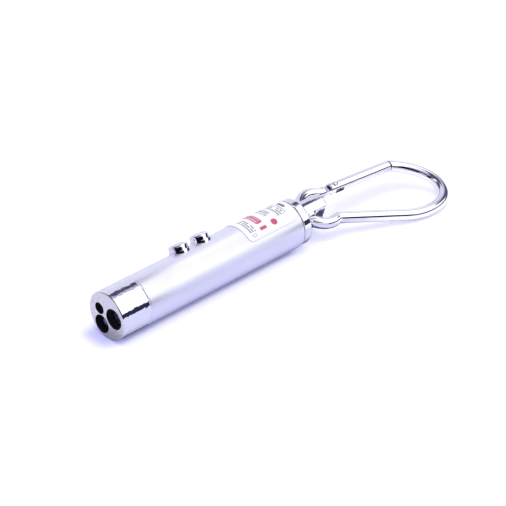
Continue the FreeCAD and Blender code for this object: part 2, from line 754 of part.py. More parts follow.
# Cells

CELL_RADIUS = f"({LINER_RADIUS} - sleeve_wall - cell_gap)"


def battery():
    for index in range(int(size("cell_count"))):
        body = new_body(f"button_cell_{index + 1}")
        revolve(body, outline(sketch_on(body, "XZ_Plane"), [
            ("0", "0"),
            ("0", f"{CELL_RADIUS} - cell_rim"),
            ("cell_step", f"{CELL_RADIUS} - cell_rim"),
            ("cell_step", f"{CELL_RADIUS} - cell_bevel"),
            ("cell_step + cell_bevel", CELL_RADIUS),
            ("cell_length - cell_bevel", CELL_RADIUS),
            ("cell_length", f"{CELL_RADIUS} - cell_bevel"),
            ("cell_length", "0"),
        ]))
        barrel_frame(body, f"{CELLS_START} + {index} * cell_length")


def battery_sleeve():
    """A thin tube that keeps the cells off the barrel."""
    body = new_body("battery_sleeve")
    revolve(body, rectangle(sketch_on(body, "XZ_Plane"), f"{CARRIER_END} + seam_gap",
                            f"{LINER_RADIUS} - sleeve_wall", CELLS_END, LINER_RADIUS))
    barrel_frame(body)


def front_contact():
    """A stamped dish between the carrier and the first cell."""
    body = new_body("front_contact")
    revolve(body, outline(sketch_on(body, "XZ_Plane"), [
        (CARRIER_END, "contact_throat"),
        (CARRIER_END, "contact_rim"),
        (f"{CARRIER_END} + contact_gauge", "contact_rim"),
        (f"{CARRIER_END} + contact_gauge", "contact_throat + contact_gauge"),
        (CELLS_START, "contact_nose"),
        (CELLS_START, "0"),
        (f"{CELLS_START} - contact_gauge", "0"),
        (f"{CELLS_START} - contact_gauge", "contact_nose - contact_gauge"),
    ]))
    barrel_frame(body)


# Tail

GROOVE_FLOOR = f"({SPIGOT_RADIUS} - 2 * ring_wire - running_gap)"
TAIL_CAVITY = f"({SPIGOT_RADIUS} - 2 * ring_wire - running_gap - cavity_wall)"


def tail_cap():
    """A screwed plug with a ring groove, a flange and a lug with two flats."""
    body = new_body("tail_cap")
    inner = f"{FLANGE_START} - tail_spigot"
    groove_end = f"{FLANGE_START} - ring_land"
    groove_start = f"{groove_end} - 2 * ring_wire - 2 * running_gap"
    lug_end = f"{LUG_START} + lug_length"
    revolve(body, outline(sketch_on(body, "XZ_Plane"), [
        (inner, TAIL_CAVITY),
        (inner, SPIGOT_RADIUS),
        (groove_start, SPIGOT_RADIUS),
        (groove_start, GROOVE_FLOOR),
        (groove_end, GROOVE_FLOOR),
        (groove_end, SPIGOT_RADIUS),
        (FLANGE_START, SPIGOT_RADIUS),
        (FLANGE_START, FLANGE_RADIUS),
        (LUG_START, FLANGE_RADIUS),
        (LUG_START, "lug_radius"),
        (lug_end, "lug_radius"),
        (lug_end, "0"),
        (f"{inner} + cavity_depth", "0"),
        (f"{inner} + cavity_depth", TAIL_CAVITY),
    ]))
    flats = sketch_on(body, "XY_Plane")
    for side in ("", "-"):
        rectangle(flats, f"{LUG_START} + lug_shoulder", f"{side}lug_thickness / 2",
                  f"{lug_end} + trim", f"{side}2 * lug_radius")
    cut(body, flats, "4 * lug_radius", both_ways=True)
    bore = circle(sketch_on(body, "XZ_Plane"), f"{LUG_START} + lug_bore_place", "0", "lug_bore")
    cut(body, bore, "4 * lug_radius", both_ways=True)
    half = size("lug_thickness") / 2

    def bore_rim(edge, middle):
        return isinstance(edge.Curve, Part.Circle) and abs(abs(middle.y) - half) < 1e-4 \
            and abs(edge.Curve.Radius - size("lug_bore")) < 1e-4

    def end_rim(edge, middle):
        return abs(edge.BoundBox.Center.x - size(lug_end)) < 1e-4

    dress(body, "Fillet", "lug_round", end_rim)
    dress(body, "Fillet", "lug_bore_round", bore_rim)
    flange = size(FLANGE_RADIUS)
    dress(body, "Fillet", "flange_round", ring_at(size(LUG_START), flange))
    dress(body, "Fillet", "flange_round / 2", ring_at(size(FLANGE_START), flange))
    tail_frame(body)


def o_ring():
    """The rubber ring that seals the tail cap."""
    ring = doc.addObject("Part::Torus", "o_ring")
    ring.Label = "o_ring"
    bind(ring, "Radius1", f"{SPIGOT_RADIUS} - ring_wire")
    bind(ring, "Radius2", "ring_wire - running_gap / 2")
    place = f"{FLANGE_START} - ring_land - running_gap - ring_wire"
    bind(ring, "Placement", placed(place, axis="0; 1; 0", angle="90"))
    parts.append(ring)


# Carabiner

class Route:
    """A flat path of tangent lines and arcs, drawn into a sketch."""

    def __init__(self, sketch, start, heading):
        self.sketch = sketch
        self.spot = start
        self.heading = heading

    def line(self, length):
        course = FreeCAD.Vector(math.cos(self.heading), math.sin(self.heading), 0)
        finish = self.spot + course * length
        self.sketch.addGeometry(Part.LineSegment(self.spot, finish))
        self.spot = finish

    def arc(self, radius, turn):
        """Turns left by a positive angle and right by a negative one."""
        side = math.copysign(1, turn)
        left = FreeCAD.Vector(-math.sin(self.heading), math.cos(self.heading), 0)
        centre = self.spot + left * (side * radius)
        arm = self.spot - centre
        turned = [FreeCAD.Rotation(Z_AXIS, math.degrees(turn * share)).multVec(arm)
                  for share in (0.5, 1)]
        middle, finish = [centre + item for item in turned]
        self.sketch.addGeometry(Part.Arc(self.spot, middle, finish))
        self.spot = finish
        self.heading += turn


def wire_turns():
    """The turns of the carabiner's wire that make it meet the gate's line."""
    crease = size("crease_radius")
    reach = size("eye_radius") + crease
    gate_turn = math.acos((size("gate_offset") + crease) / reach)
    arm_turn = math.acos((size("arm_offset") + crease) / reach)
    wedge = math.radians(size("wedge_angle"))
    eye_turn = math.pi + gate_turn + arm_turn - wedge
    start = FreeCAD.Vector(math.sin(wedge) * -size("arm_offset"),
                           math.cos(wedge) * -size("arm_offset"), 0)
    along = FreeCAD.Vector(math.cos(wedge), -math.sin(wedge), 0)
    shoulder_start = start + along * (reach * math.sin(arm_turn) + size("arm_length"))
    first = -wedge
    second = first + math.radians(size("shoulder_angle"))
    last = math.pi - math.radians(size("nose_slope"))
    shoulder = size("shoulder_radius")
    tight = size("end_radius")
    rise = size("gate_offset - nose_drop") - shoulder_start.y
    rest = rise - shoulder * (math.cos(first) - math.cos(second)) - tight * math.cos(second)
    third = math.acos((rest + shoulder * math.cos(last)) / (shoulder - tight))
    nose_x = shoulder_start.x + shoulder * (math.sin(second) - math.sin(first)) \
        + tight * (math.sin(third) - math.sin(second)) \
        + shoulder * (math.sin(last) - math.sin(third))
    return {
        "gate_turn": gate_turn, "eye_turn": eye_turn, "arm_turn": arm_turn,
        "gate_run": reach * math.sin(gate_turn), "wedge": wedge,
        "first_turn": second - first, "end_turn": third - second, "last_turn": last - third,
        "nose_x": nose_x,
    }


TURNS = wire_turns()
NOSE_FACE = f"({TURNS['nose_x']:.4f} - nose_cut)"
PIVOT = ("pivot_place", "gate_offset")


def carabiner_body():
    """Round wire: tang, eye, straight arm, wide end and the nose."""
    body = new_body("carabiner_body")
    path = sketch_on(body, "XY_Plane")
    start = FreeCAD.Vector(size("wire_end"), size("gate_offset"), 0)
    route = Route(path, start, math.pi)
    route.line(size("wire_end") - TURNS["gate_run"])
    route.arc(size("crease_radius"), -TURNS["gate_turn"])
    route.arc(size("eye_radius"), TURNS["eye_turn"])
    route.arc(size("crease_radius"), -TURNS["arm_turn"])
    route.line(size("arm_length"))
    route.arc(size("shoulder_radius"), TURNS["first_turn"])
    route.arc(size("end_radius"), TURNS["end_turn"])
    route.arc(size("shoulder_radius"), TURNS["last_turn"])
    route.line(size("2 * nose_cut + wire_radius / 2"))
    section = circle(sketch_on(body, "YZ_Plane", "wire_end"), "gate_offset", "0", "wire_radius")
    pipe = body.newObject("PartDesign::AdditivePipe", "carabiner_pipe")
    pipe.Profile = (section, [""])
    pipe.Spine = (path, [f"Edge{index + 1}" for index in range(path.GeometryCount)])
    dress(body, "Fillet", "wire_round",
          lambda edge, middle: abs(middle.x - size("wire_end")) < 1e-4
          and isinstance(edge.Curve, Part.Circle) and middle.y > 0)
    half = "tang_radius"
    extrude(body, outline(sketch_on(body, "XY_Plane"), [
        ("wire_end - root_length", f"gate_offset - {half}"),
        ("pivot_place", f"gate_offset - {half}"),
        ("pivot_place + tang_radius", "gate_offset", half),
        ("pivot_place", f"gate_offset + {half}", half),
        ("wire_end - root_length", f"gate_offset + {half}"),
    ]), "tang_thickness", both_ways=True)
    hole = circle(sketch_on(body, "XY_Plane"), *PIVOT, "rivet_radius + running_gap")
    cut(body, hole, "2 * wire_radius", both_ways=True)
    nose = rectangle(sketch_on(body, "XY_Plane"), f"{NOSE_FACE} - 3 * wire_radius",
                     "gate_offset - 2 * wire_radius", NOSE_FACE, "gate_offset + 3 * wire_radius")
    cut(body, nose, "4 * wire_radius", both_ways=True)
    tongue = rectangle(sketch_on(body, "XY_Plane"), f"{NOSE_FACE} - tongue_length",
                       "gate_offset + tongue_floor", f"{NOSE_FACE} + root_length / 3",
                       "gate_offset + tongue_top")
    extrude(body, tongue, "tang_thickness", both_ways=True)
    clip_frame(body)


def carabiner_gate():
    """A round bar with a fork on the tang and a slot for the nose tongue."""
    body = new_body("carabiner_gate")
    start = "pivot_place - gate_tail"
    finish = f"{NOSE_FACE} - gate_gap"
    bar = circle(sketch_on(body, "YZ_Plane", start), "gate_offset", "0", "wire_radius")
    extrude(body, bar, f"{finish} - ({start})")
    dress(body, "Fillet", "gate_round",
          lambda edge, middle: isinstance(edge.Curve, Part.Circle))
    slot = "tang_thickness + 2 * slot_gap"
    fork = rectangle(sketch_on(body, "XY_Plane"), f"{start} - trim",
                     "gate_offset - 2 * wire_radius", f"{start} + fork_length",
                     "gate_offset + fork_roof")
    cut(body, fork, slot, both_ways=True)
    bore = circle(sketch_on(body, "YZ_Plane", start), "gate_offset", "0", "gate_bore")
    cut(body, bore, "gate_bore_depth", turned=True)
    pivot = circle(sketch_on(body, "XY_Plane"), *PIVOT, "rivet_radius + running_gap")
    cut(body, pivot, "4 * wire_radius", both_ways=True)
    for side in (1, -1):
        seat = circle(sketch_on(body, "XY_Plane", f"{side} * rivet_seat"), *PIVOT,
                      "rivet_head + running_gap")
        cut(body, seat, "wire_radius", turned=side > 0)
    end_slot = rectangle(sketch_on(body, "XY_Plane"),
                         f"{NOSE_FACE} - tongue_length - tongue_gap",
                         "gate_offset + tongue_floor - slot_gap", f"{finish} + trim",
                         "gate_offset + 2 * wire_radius")
    cut(body, end_slot, slot, both_ways=True)
    clip_frame(body)


def gate_rivet():
    """The gate's pivot, headed on both sides."""
    body = new_body("gate_rivet")
    top = "rivet_seat + rivet_dome"
    ball = ball_radius("rivet_head", "rivet_dome")
    revolve(body, outline(sketch_on(body, "XZ_Plane"), [
        ("0", f"-({top})"),
        ("rivet_head", "-rivet_seat", ball),
        ("rivet_radius", "-rivet_seat"),
        ("rivet_radius", "rivet_seat"),
        ("rivet_head", "rivet_seat"),
        ("0", top, ball),
    ]), axis="V_Axis")
    clip_frame(body, *PIVOT)


PLUNGER_START = "(pivot_place + tang_radius + slot_gap)"


def gate_plunger():
    """The pin that the gate's spring pushes against the tang."""
    body = new_body("gate_plunger")
    neck = "plunger_length - plunger_head"
    head = "gate_bore - 2 * running_gap"
    revolve(body, outline(sketch_on(body, "XZ_Plane"), [
        ("0", "0"),
        ("0", "plunger_radius - plunger_bevel"),
        ("plunger_bevel", "plunger_radius"),
        (neck, "plunger_radius"),
        (neck, head),
        ("plunger_length", head),
        ("plunger_length", "0"),
    ]))
    clip_frame(body, PLUNGER_START, "gate_offset")


def gate_spring():
    """The spring that closes the gate."""
    start = f"({PLUNGER_START} + plunger_length)"
    finish = "(pivot_place - gate_tail + gate_bore_depth - seam_gap)"
    radius = "gate_bore - coil_gap - fine_wire"
    spring = coil("gate_spring", radius, radius, start, finish, "fine_wire", turns=4)
    clip_frame(spring, start, "gate_offset")


def build():
    nose_cap()
    barrel_tube()
    label()
    for name, place in (("front", FRONT_BUTTON), ("rear", REAR_BUTTON)):
        button(f"{name}_button", place)
        collar(f"{name}_button_collar", place)
        switch_stem(f"{name}_switch_stem", place)
        switch(f"{name}_switch", place)
    main_board()
    driver_chips()
    board_carrier()
    front_board()
    lamp("white_led", "white_depth", WHITE)
    lamp("violet_led", "violet_depth", VIOLET)
    led_leads()
    laser_housing()
    collimating_lens()
    lens_spring()
    laser_diode()
    battery_sleeve()
    battery()
    front_contact()
    tail_cap()
    o_ring()
    tail_spring()
    carabiner_body()
    carabiner_gate()
    gate_rivet()
    gate_plunger()
    gate_spring()


def check_document():
    """Stops before anything is written if a feature or a solid is bad."""
    for item in doc.Objects:
        bad = {"Invalid", "Error"} & set(item.State)
        if bad:
            raise RuntimeError(f"{item.Name} is {', '.join(sorted(bad))}")
    for part in parts:
        shape = part.Shape
        if shape.isNull() or not shape.isValid() or not shape.Solids:
            raise RuntimeError(f"{part.Label} has no valid solid")


def export():
    os.makedirs("parts", exist_ok=True)
    for part in parts:
        part.Shape.exportStep(f"parts/{part.Label}.step")
        box = part.Shape.optimalBoundingBox(False)
        print(f"{part.Label}: {part.Shape.Volume:.2f} mm3, {len(part.Shape.Solids)} solids, "
              f"x {box.XMin:.2f} to {box.XMax:.2f}, y {box.YMin:.2f} to {box.YMax:.2f}, "
              f"z {box.ZMin:.2f} to {box.ZMax:.2f}")


build()
doc.recompute()
check_document()
export()
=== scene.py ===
import json
import math

import bpy
from bpy.props import FloatProperty, FloatVectorProperty, PointerProperty
from mathutils import Matrix, Vector


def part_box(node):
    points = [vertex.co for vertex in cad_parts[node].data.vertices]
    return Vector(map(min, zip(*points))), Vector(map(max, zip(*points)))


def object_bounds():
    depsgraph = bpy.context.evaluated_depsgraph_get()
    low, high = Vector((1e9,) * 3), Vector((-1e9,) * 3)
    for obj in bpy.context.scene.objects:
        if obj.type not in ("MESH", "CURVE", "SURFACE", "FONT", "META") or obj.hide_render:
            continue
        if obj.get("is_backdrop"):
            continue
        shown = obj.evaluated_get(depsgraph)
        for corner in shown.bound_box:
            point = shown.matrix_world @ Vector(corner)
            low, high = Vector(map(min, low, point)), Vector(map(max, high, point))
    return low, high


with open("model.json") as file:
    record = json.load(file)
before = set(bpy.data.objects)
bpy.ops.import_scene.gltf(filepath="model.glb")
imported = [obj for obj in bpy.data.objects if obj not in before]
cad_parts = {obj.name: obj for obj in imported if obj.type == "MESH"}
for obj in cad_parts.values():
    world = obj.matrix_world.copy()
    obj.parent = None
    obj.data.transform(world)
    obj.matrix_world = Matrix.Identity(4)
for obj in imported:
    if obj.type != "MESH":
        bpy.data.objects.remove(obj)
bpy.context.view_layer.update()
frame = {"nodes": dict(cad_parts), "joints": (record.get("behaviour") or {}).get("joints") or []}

bl_info = {
    "name": "Laser Pointer Keychain",
    "version": (1, 0, 0),
    "blender": (4, 5, 0),
    "location": "View3D > Sidebar > Pointer",
    "description": "Finishes and studio for a keychain pointer with a wire carabiner",
    "category": "Object",
}

MM = 0.001
MICRON = 0.000001

# Measures of the barrel and the label, in millimetres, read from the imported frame.
BARREL_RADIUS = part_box("barrel_tube")[1].y / MM
BARREL_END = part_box("barrel_tube")[1].x / MM
LABEL_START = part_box("label")[0].x / MM
LABEL_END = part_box("label")[1].x / MM


def joint(name):
    return [item for item in frame["joints"] if item["name"] == name][0]


BUTTON_AXIS = -Vector(joint("front_button_press")["axis"])
BUTTON_ROLL = math.atan2(BUTTON_AXIS.y, BUTTON_AXIS.z)


# Sizes and colours

def colour(name, words, value):
    return FloatVectorProperty(name=name, description=words, default=value, size=3,
                               subtype="COLOR", min=0.0, max=1.0)


class PointerFinishes(bpy.types.PropertyGroup):
    plating: colour("Plating", "Tint of the polished plating", (0.96, 0.96, 0.98))
    barrel: colour("Barrel", "Tint of the satin barrel", (0.92, 0.92, 1.0))
    # The bore's tone is painted shade inside the nose's windows.
    bore_shade: colour("Bore", "Dark inside of the nose's windows", (0.010, 0.008, 0.014))
    lamp: colour("Lamp", "Dark clear body of a lamp", (0.11, 0.12, 0.19))
    paper: colour("Paper", "White of the label", (0.88, 0.88, 0.92))
    red_ink: colour("Red ink", "Red of the label's print", (0.52, 0.07, 0.15))
    grey_ink: colour("Grey ink", "Grey of the label's print", (0.06, 0.06, 0.10))
    brass: colour("Brass", "Turned brass of the laser module", (0.78, 0.58, 0.25))
    gold: colour("Gold flash", "Stamped contact", (0.85, 0.66, 0.30))
    steel: colour("Steel", "Drawn and stamped steel", (0.62, 0.62, 0.65))
    board: colour("Board", "Solder mask of the boards", (0.02, 0.16, 0.06))
    black_plastic: colour("Black plastic", "Moulded black pieces", (0.025, 0.025, 0.028))
    pale_plastic: colour("Pale plastic", "Uncoloured nylon", (0.74, 0.73, 0.68))
    rubber: colour("Rubber", "Sealing ring", (0.018, 0.018, 0.018))
    wave: FloatProperty(name="Wave", description="Height of the plating's slow waves",
                        default=1.6 * MICRON, min=0.0, unit="LENGTH", precision=7)
    grain: FloatProperty(name="Grain", description="Height of the satin grain",
                         default=0.9 * MICRON, min=0.0, unit="LENGTH", precision=7)
    polish: FloatProperty(name="Polish", description="Roughness of the plating",
                          default=0.045, min=0.0, max=1.0, subtype="FACTOR")
    satin: FloatProperty(name="Satin", description="Roughness of the barrel",
                         default=0.34, min=0.0, max=1.0, subtype="FACTOR")
    sheen: FloatProperty(name="Sheen", description="Share of the barrel's finish that mirrors",
                         default=0.80, min=0.0, max=1.0, subtype="FACTOR")


class PointerStage(bpy.types.PropertyGroup):
    lens: FloatProperty(name="Lens", description="Focal length for a 36 mm frame",
                        default=163.64, min=1.0)
    distance: FloatProperty(name="Distance", description="Camera to the aimed point",
                            default=0.6211, min=0.01, unit="LENGTH")
    heading: FloatProperty(name="Heading", description="Camera's heading round the part",
                           default=math.radians(46.49), subtype="ANGLE")
    dip: FloatProperty(name="Dip", description="How far the camera looks down",
                       default=math.radians(32.74), subtype="ANGLE")
    key: FloatProperty(name="Key", description="Power of the overhead lamp in watts",
                       default=2.9, min=0.0)
    fill: colour("Fill", "Light from all round", (0.50, 0.50, 0.60))
    floor: colour("Floor", "Floor as polished metal sees it", (0.60, 0.60, 0.77))


# Shader maths

class Flow:
    """A value on its way through a node tree. Arithmetic adds Math nodes."""

    def __init__(self, paint, socket):
        self.paint = paint
        self.socket = socket

    def math(self, operation, *others):
        links = {index: item for index, item in enumerate((self,) + others)}
        return self.paint.node("ShaderNodeMath", {"operation": operation}, links).value()

    def __add__(self, other):
        return self.math("ADD", other)

    def __sub__(self, other):
        return self.math("SUBTRACT", other)

    def __mul__(self, other):
        return self.math("MULTIPLY", other)

    def __truediv__(self, other):
        return self.math("DIVIDE", other)

    def __radd__(self, other):
        return self.math("ADD", other)

    def __rmul__(self, other):
        return self.math("MULTIPLY", other)

    def __rsub__(self, other):
        return self.math("MULTIPLY", -1.0).math("ADD", other)

    def __neg__(self):
        return self.math("MULTIPLY", -1.0)

    def __abs__(self):
        return self.math("ABSOLUTE")

    def least(self, other):
        return self.math("MINIMUM", other)

    def most(self, other):
        return self.math("MAXIMUM", other)

    def root(self):
        return self.math("SQRT")

    def rest(self, step):
        return self.math("FLOORED_MODULO", step)

    def whole(self):
        return self.math("FLOOR")

    def ease(self, low, high):
        """Climbs smoothly from 0 at low to 1 at high."""
        inputs = {"Value": self, "From Min": low, "From Max": high}
        settings = {"interpolation_type": "SMOOTHSTEP"}
        return self.paint.node("ShaderNodeMapRange", settings, inputs).value()

    def band(self, low, high, soft):
        """1 between low and high, 0 outside, with soft edges."""
        return self.ease(low - soft, low + soft) * (1 - self.ease(high - soft, high + soft))


class Step:
    """A node and its outputs."""

    def __init__(self, paint, node):
        self.paint = paint
        self.inner = node

    def value(self, name=None):
        outputs = self.inner.outputs
        visible = [item for item in outputs if item.enabled]
        return Flow(self.paint, outputs[name] if name else visible[0])


class Paint:
    """Builds a node tree for a material or the world."""

    def __init__(self, owner):
        self.owner = owner
        owner.use_nodes = True
        self.tree = owner.node_tree
        self.tree.nodes.clear()

    def node(self, kind, settings, inputs):
        """Adds a node: its settings first, then the values or links of its sockets."""
        item = self.tree.nodes.new(kind)
        for name, value in settings.items():
            setattr(item, name, value)
        for name, value in inputs.items():
            socket = item.inputs[name]
            if isinstance(value, Flow):
                self.tree.links.new(value.socket, socket)
            elif isinstance(value, (int, float)):
                socket.default_value = value
            else:
                length = len(socket.default_value)
                socket.default_value = (tuple(value) + (1.0,))[:length]
        return Step(self, item)

    def blend(self, factor, first, second):
        """A colour between two colours."""
        mix = self.node("ShaderNodeMix", {"data_type": "RGBA"}, {"Factor": factor})
        for index, item in ((6, first), (7, second)):
            if isinstance(item, Flow):
                self.tree.links.new(item.socket, mix.inner.inputs[index])
            else:
                mix.inner.inputs[index].default_value = tuple(item) + (1.0,)
        return Flow(self, mix.inner.outputs[2])

    def place(self, stretch=(1.0, 1.0, 1.0)):
        """The point on the piece in millimetres, stretched along each axis."""
        source = self.node("ShaderNodeTexCoord", {}, {}).value("Object")
        scaled = self.node("ShaderNodeVectorMath", {"operation": "MULTIPLY"},
                           {0: source, 1: tuple(share / MM for share in stretch)})
        return scaled.value()

    def axes(self, vector):
        parts = self.node("ShaderNodeSeparateXYZ", {}, {"Vector": vector})
        return [parts.value(name) for name in "XYZ"]

    def noise(self, vector, scale, detail=2.0, roughness=0.5):
        inputs = {"Vector": vector, "Scale": scale, "Detail": detail, "Roughness": roughness}
        return self.node("ShaderNodeTexNoise", {}, inputs).value("Fac")

    def bump(self, height, distance, under=None):
        inputs = {"Height": height, "Distance": distance, "Strength": 1.0}
        if under:
            inputs["Normal"] = under
        return self.node("ShaderNodeBump", {}, inputs).value("Normal")

    def surface(self, **inputs):
        """Adds the main shader and the output."""
        named = {name.replace("_", " "): value for name, value in inputs.items()}
        shader = self.node("ShaderNodeBsdfPrincipled", {}, named)
        self.node("ShaderNodeOutputMaterial", {}, {"Surface": shader.value("BSDF")})


def finishes():
    return bpy.context.scene.pointer_finishes


def new_material(name):
    return bpy.data.materials.new(name)


def dress(material, *nodes):
    """Puts a material on CAD nodes."""
    for name in nodes:
        piece = frame["nodes"][name]
        piece.data.materials.clear()
        piece.data.materials.append(material)


# Finishes

def plating(name, tint, polish, wave, smudge=0.03):
    """Bright plating: slow waves in the metal, faint smudges and hairlines."""
    material = new_material(name)
    paint = Paint(material)
    place = paint.place()
    slow = paint.noise(place, 0.35, 2.0)
    smear = paint.noise(paint.place((0.6, 1.0, 1.0)), 0.5, 4.0, 0.6)
    hair = paint.noise(paint.place((0.4, 6.0, 6.0)), 2.2, 3.0)
    marks = smear.ease(0.45, 0.75)
    shade = paint.blend(marks * 0.5, tint, [part * 0.94 for part in tint])
    rough = polish + marks * smudge + hair.ease(0.62, 0.8) * smudge
    paint.surface(Base_Color=shade, Metallic=1.0, Roughness=rough,
                  Normal=paint.bump(slow, wave * 8))
    return material


# Handled metal on the nose's face.
FACE_SMUDGE = (0.76, 0.76, 0.65)

# A painted highlight on the walls of the bores.
PAINTED_BORE_HIGHLIGHT = (0.24, 0.27, 0.44)

# Depths behind the nose's face, in millimetres: where a bore's painted shade sets in,
# where the handled look of the face ends, and where the bores' painted highlight lies.
BORE_MOUTH = (0.02, 0.08)
FACE_DEPTH = (0.10, 0.40)
GLINT_DEPTH = (2.3, 3.8, 0.3)

# How far the painted shade of each window reaches past the piece behind it, in millimetres.
WINDOW_RIMS = (("white_led", 0.66), ("violet_led", 0.36), ("laser_housing", 0.16))


def nose_plating():
    """Plating that ends inside the windows, where the bores get painted shade and a painted
    highlight.
    """
    own = finishes()
    material = new_material("nose_plating")
    paint = Paint(material)
    place = paint.place()
    x, y, z = paint.axes(place)
    windows = []
    for node, rim in WINDOW_RIMS:
        low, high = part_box(node)
        middle = (low + high) * 0.5 / MM
        reach = (high.y - low.y) * 0.5 / MM + rim
        away = ((y - middle.y) * (y - middle.y) + (z - middle.z) * (z - middle.z)).root()
        windows.append(1 - away.ease(reach - 0.02, reach + 0.02))
    # Inside the windows the plating gives way to painted shade.
    inside = windows[0].most(windows[1]).most(windows[2]) * x.ease(*BORE_MOUTH)
    slow = paint.noise(paint.place((0.7, 1.0, 1.0)), 0.7, 2.0)
    smear = paint.noise(place, 0.6, 4.0, 0.6)
    marks = smear.ease(0.42, 0.75)
    metal = paint.blend(marks * 0.6, own.plating, [part * 0.93 for part in own.plating])
    mottle = paint.noise(place, 1.3, 4.0, 0.65).ease(0.35, 0.65) * (1 - x.ease(*FACE_DEPTH))
    metal = paint.blend(mottle * 0.9, metal, FACE_SMUDGE)
    # A painted highlight on the deeper walls of the bores.
    painted_highlight = x.band(*GLINT_DEPTH) * paint.noise(place, 1.6, 3.0, 0.6).ease(0.35, 0.60)
    dark = paint.blend(painted_highlight, own.bore_shade, PAINTED_BORE_HIGHLIGHT)
    paint.surface(
        Base_Color=paint.blend(inside, metal, dark),
        Metallic=1 - inside,
        Roughness=own.polish + marks * 0.03 + inside * 0.4,
        Normal=paint.bump(slow, own.wave * 45),
    )
    return material


# The painted shade line where the tail cap meets the barrel: how far before the
# barrel's end it starts and is full, in millimetres, and its tone.
PAINTED_END_SHADE = (0.38, 0.24)
PAINTED_END_SHADE_TONE = (0.03, 0.03, 0.06)


def satin_barrel():
    """Drawn aluminium: a fine even grain, faint lines along the draw, and a
    painted shade line at the tail cap."""
    own = finishes()
    material = new_material("satin_aluminium")
    paint = Paint(material)
    lines = paint.noise(paint.place((0.03, 1.0, 1.0)), 9.0, 3.0, 0.6)
    grain = paint.noise(paint.place(), 14.0, 2.0)
    cloud = paint.noise(paint.place((0.4, 1.0, 1.0)), 0.25, 3.0)
    shade = paint.blend(cloud.ease(0.35, 0.7) * 0.6, own.barrel,
                        [part * 0.95 for part in own.barrel])
    rough = own.satin + (lines - 0.5) * 0.10 + (cloud - 0.5) * 0.08
    ridges = paint.bump(lines, own.grain)
    x = paint.axes(paint.place())[0]
    # Painted shade in the joint with the tail cap: darker and less metallic.
    painted_joint_shade = x.ease(BARREL_END - PAINTED_END_SHADE[0], BARREL_END - PAINTED_END_SHADE[1])
    shade = paint.blend(painted_joint_shade * 0.95, shade, PAINTED_END_SHADE_TONE)
    paint.surface(Base_Color=shade, Metallic=own.sheen - painted_joint_shade * own.sheen, Roughness=rough,
                  Normal=paint.bump(grain, own.grain * 0.7, ridges))
    return material


# The label's print: every mark is plain, and none of it can be read. Places
# are millimetres: along the barrel from the label's front edge, and round
# the barrel from the button line towards the side that shows.

TEXT_BLOCKS = [
    # along from, along to, round from, round to, row pitch
    (12.6, 16.0, 1.0, 6.4, 0.86),
    (9.3, 11.8, 0.4, 4.6, 0.80),
    (1.4, 3.9, 1.6, 7.4, 0.80),
]

# What a dash fills of its row's pitch, and of its own share of the row.
DASHES_PER_MM = 2.3
DASH_HEIGHT = (0.22, 0.80)
DASH_LENGTH = (0.05, 0.95, 0.06)

# A mark's middle along and round, half its length, half its width, its corner.
PLATE = (6.4, 2.8, 1.15, 3.0, 0.5)
TAB = (6.4, 7.5, 1.15, 0.5, 0.2)
FRAME = (2.6, 8.4, 0.75, 0.35, 0.35)
BAR = (17.0, 3.2, 0.55, 1.4, 0.36)
DISC = (10.6, 7.3, 1.0, 1.0, 0.98)

# Half the thickness of the frame's line.
FRAME_LINE = 0.07

# The plate's pale strokes: their reach from its middle, along and round, and
# their pitch.
STROKES = (0.75, 2.3, 1.3)

# The paper's outline, and where the painted shade along its cut edge starts and is full.
LABEL_REACH = math.radians(81.0) * BARREL_RADIUS
LABEL_CORNER = 1.6
CUT_EDGE = (-0.20, -0.12)


def rounded(along, around, mark):
    """The distance to a rounded box on the label."""
    middle_along, middle_around, length, width, corner = mark
    over_a = abs(along - middle_along) - (length - corner)
    over_b = abs(around - middle_around) - (width - corner)
    out_a = over_a.most(0.0)
    out_b = over_b.most(0.0)
    outside = (out_a * out_a + out_b * out_b).root()
    return outside + over_a.most(over_b).least(0.0) - corner


def inked(distance, soft=0.05):
    return 1 - distance.ease(-soft, soft)


def text_rows(paint, along, around, block):
    """Rows of short dashes, as small print looks from a step away."""
    start, end, left, right, pitch = block
    low, high = DASH_HEIGHT
    row = along.rest(pitch).band(pitch * low, pitch * high, 0.05)
    cell = paint.node("ShaderNodeCombineXYZ", {}, {
        "X": (around * DASHES_PER_MM).whole(), "Y": (along / pitch).whole(), "Z": start,
    })
    chance = paint.node("ShaderNodeTexWhiteNoise", {}, {"Vector": cell.value()}).value("Value")
    stroke = (around * DASHES_PER_MM).rest(1.0).band(*DASH_LENGTH)
    within = along.band(start, end, 0.02) * around.band(left, right, 0.02)
    return row * stroke * chance.ease(0.05, 0.20) * within


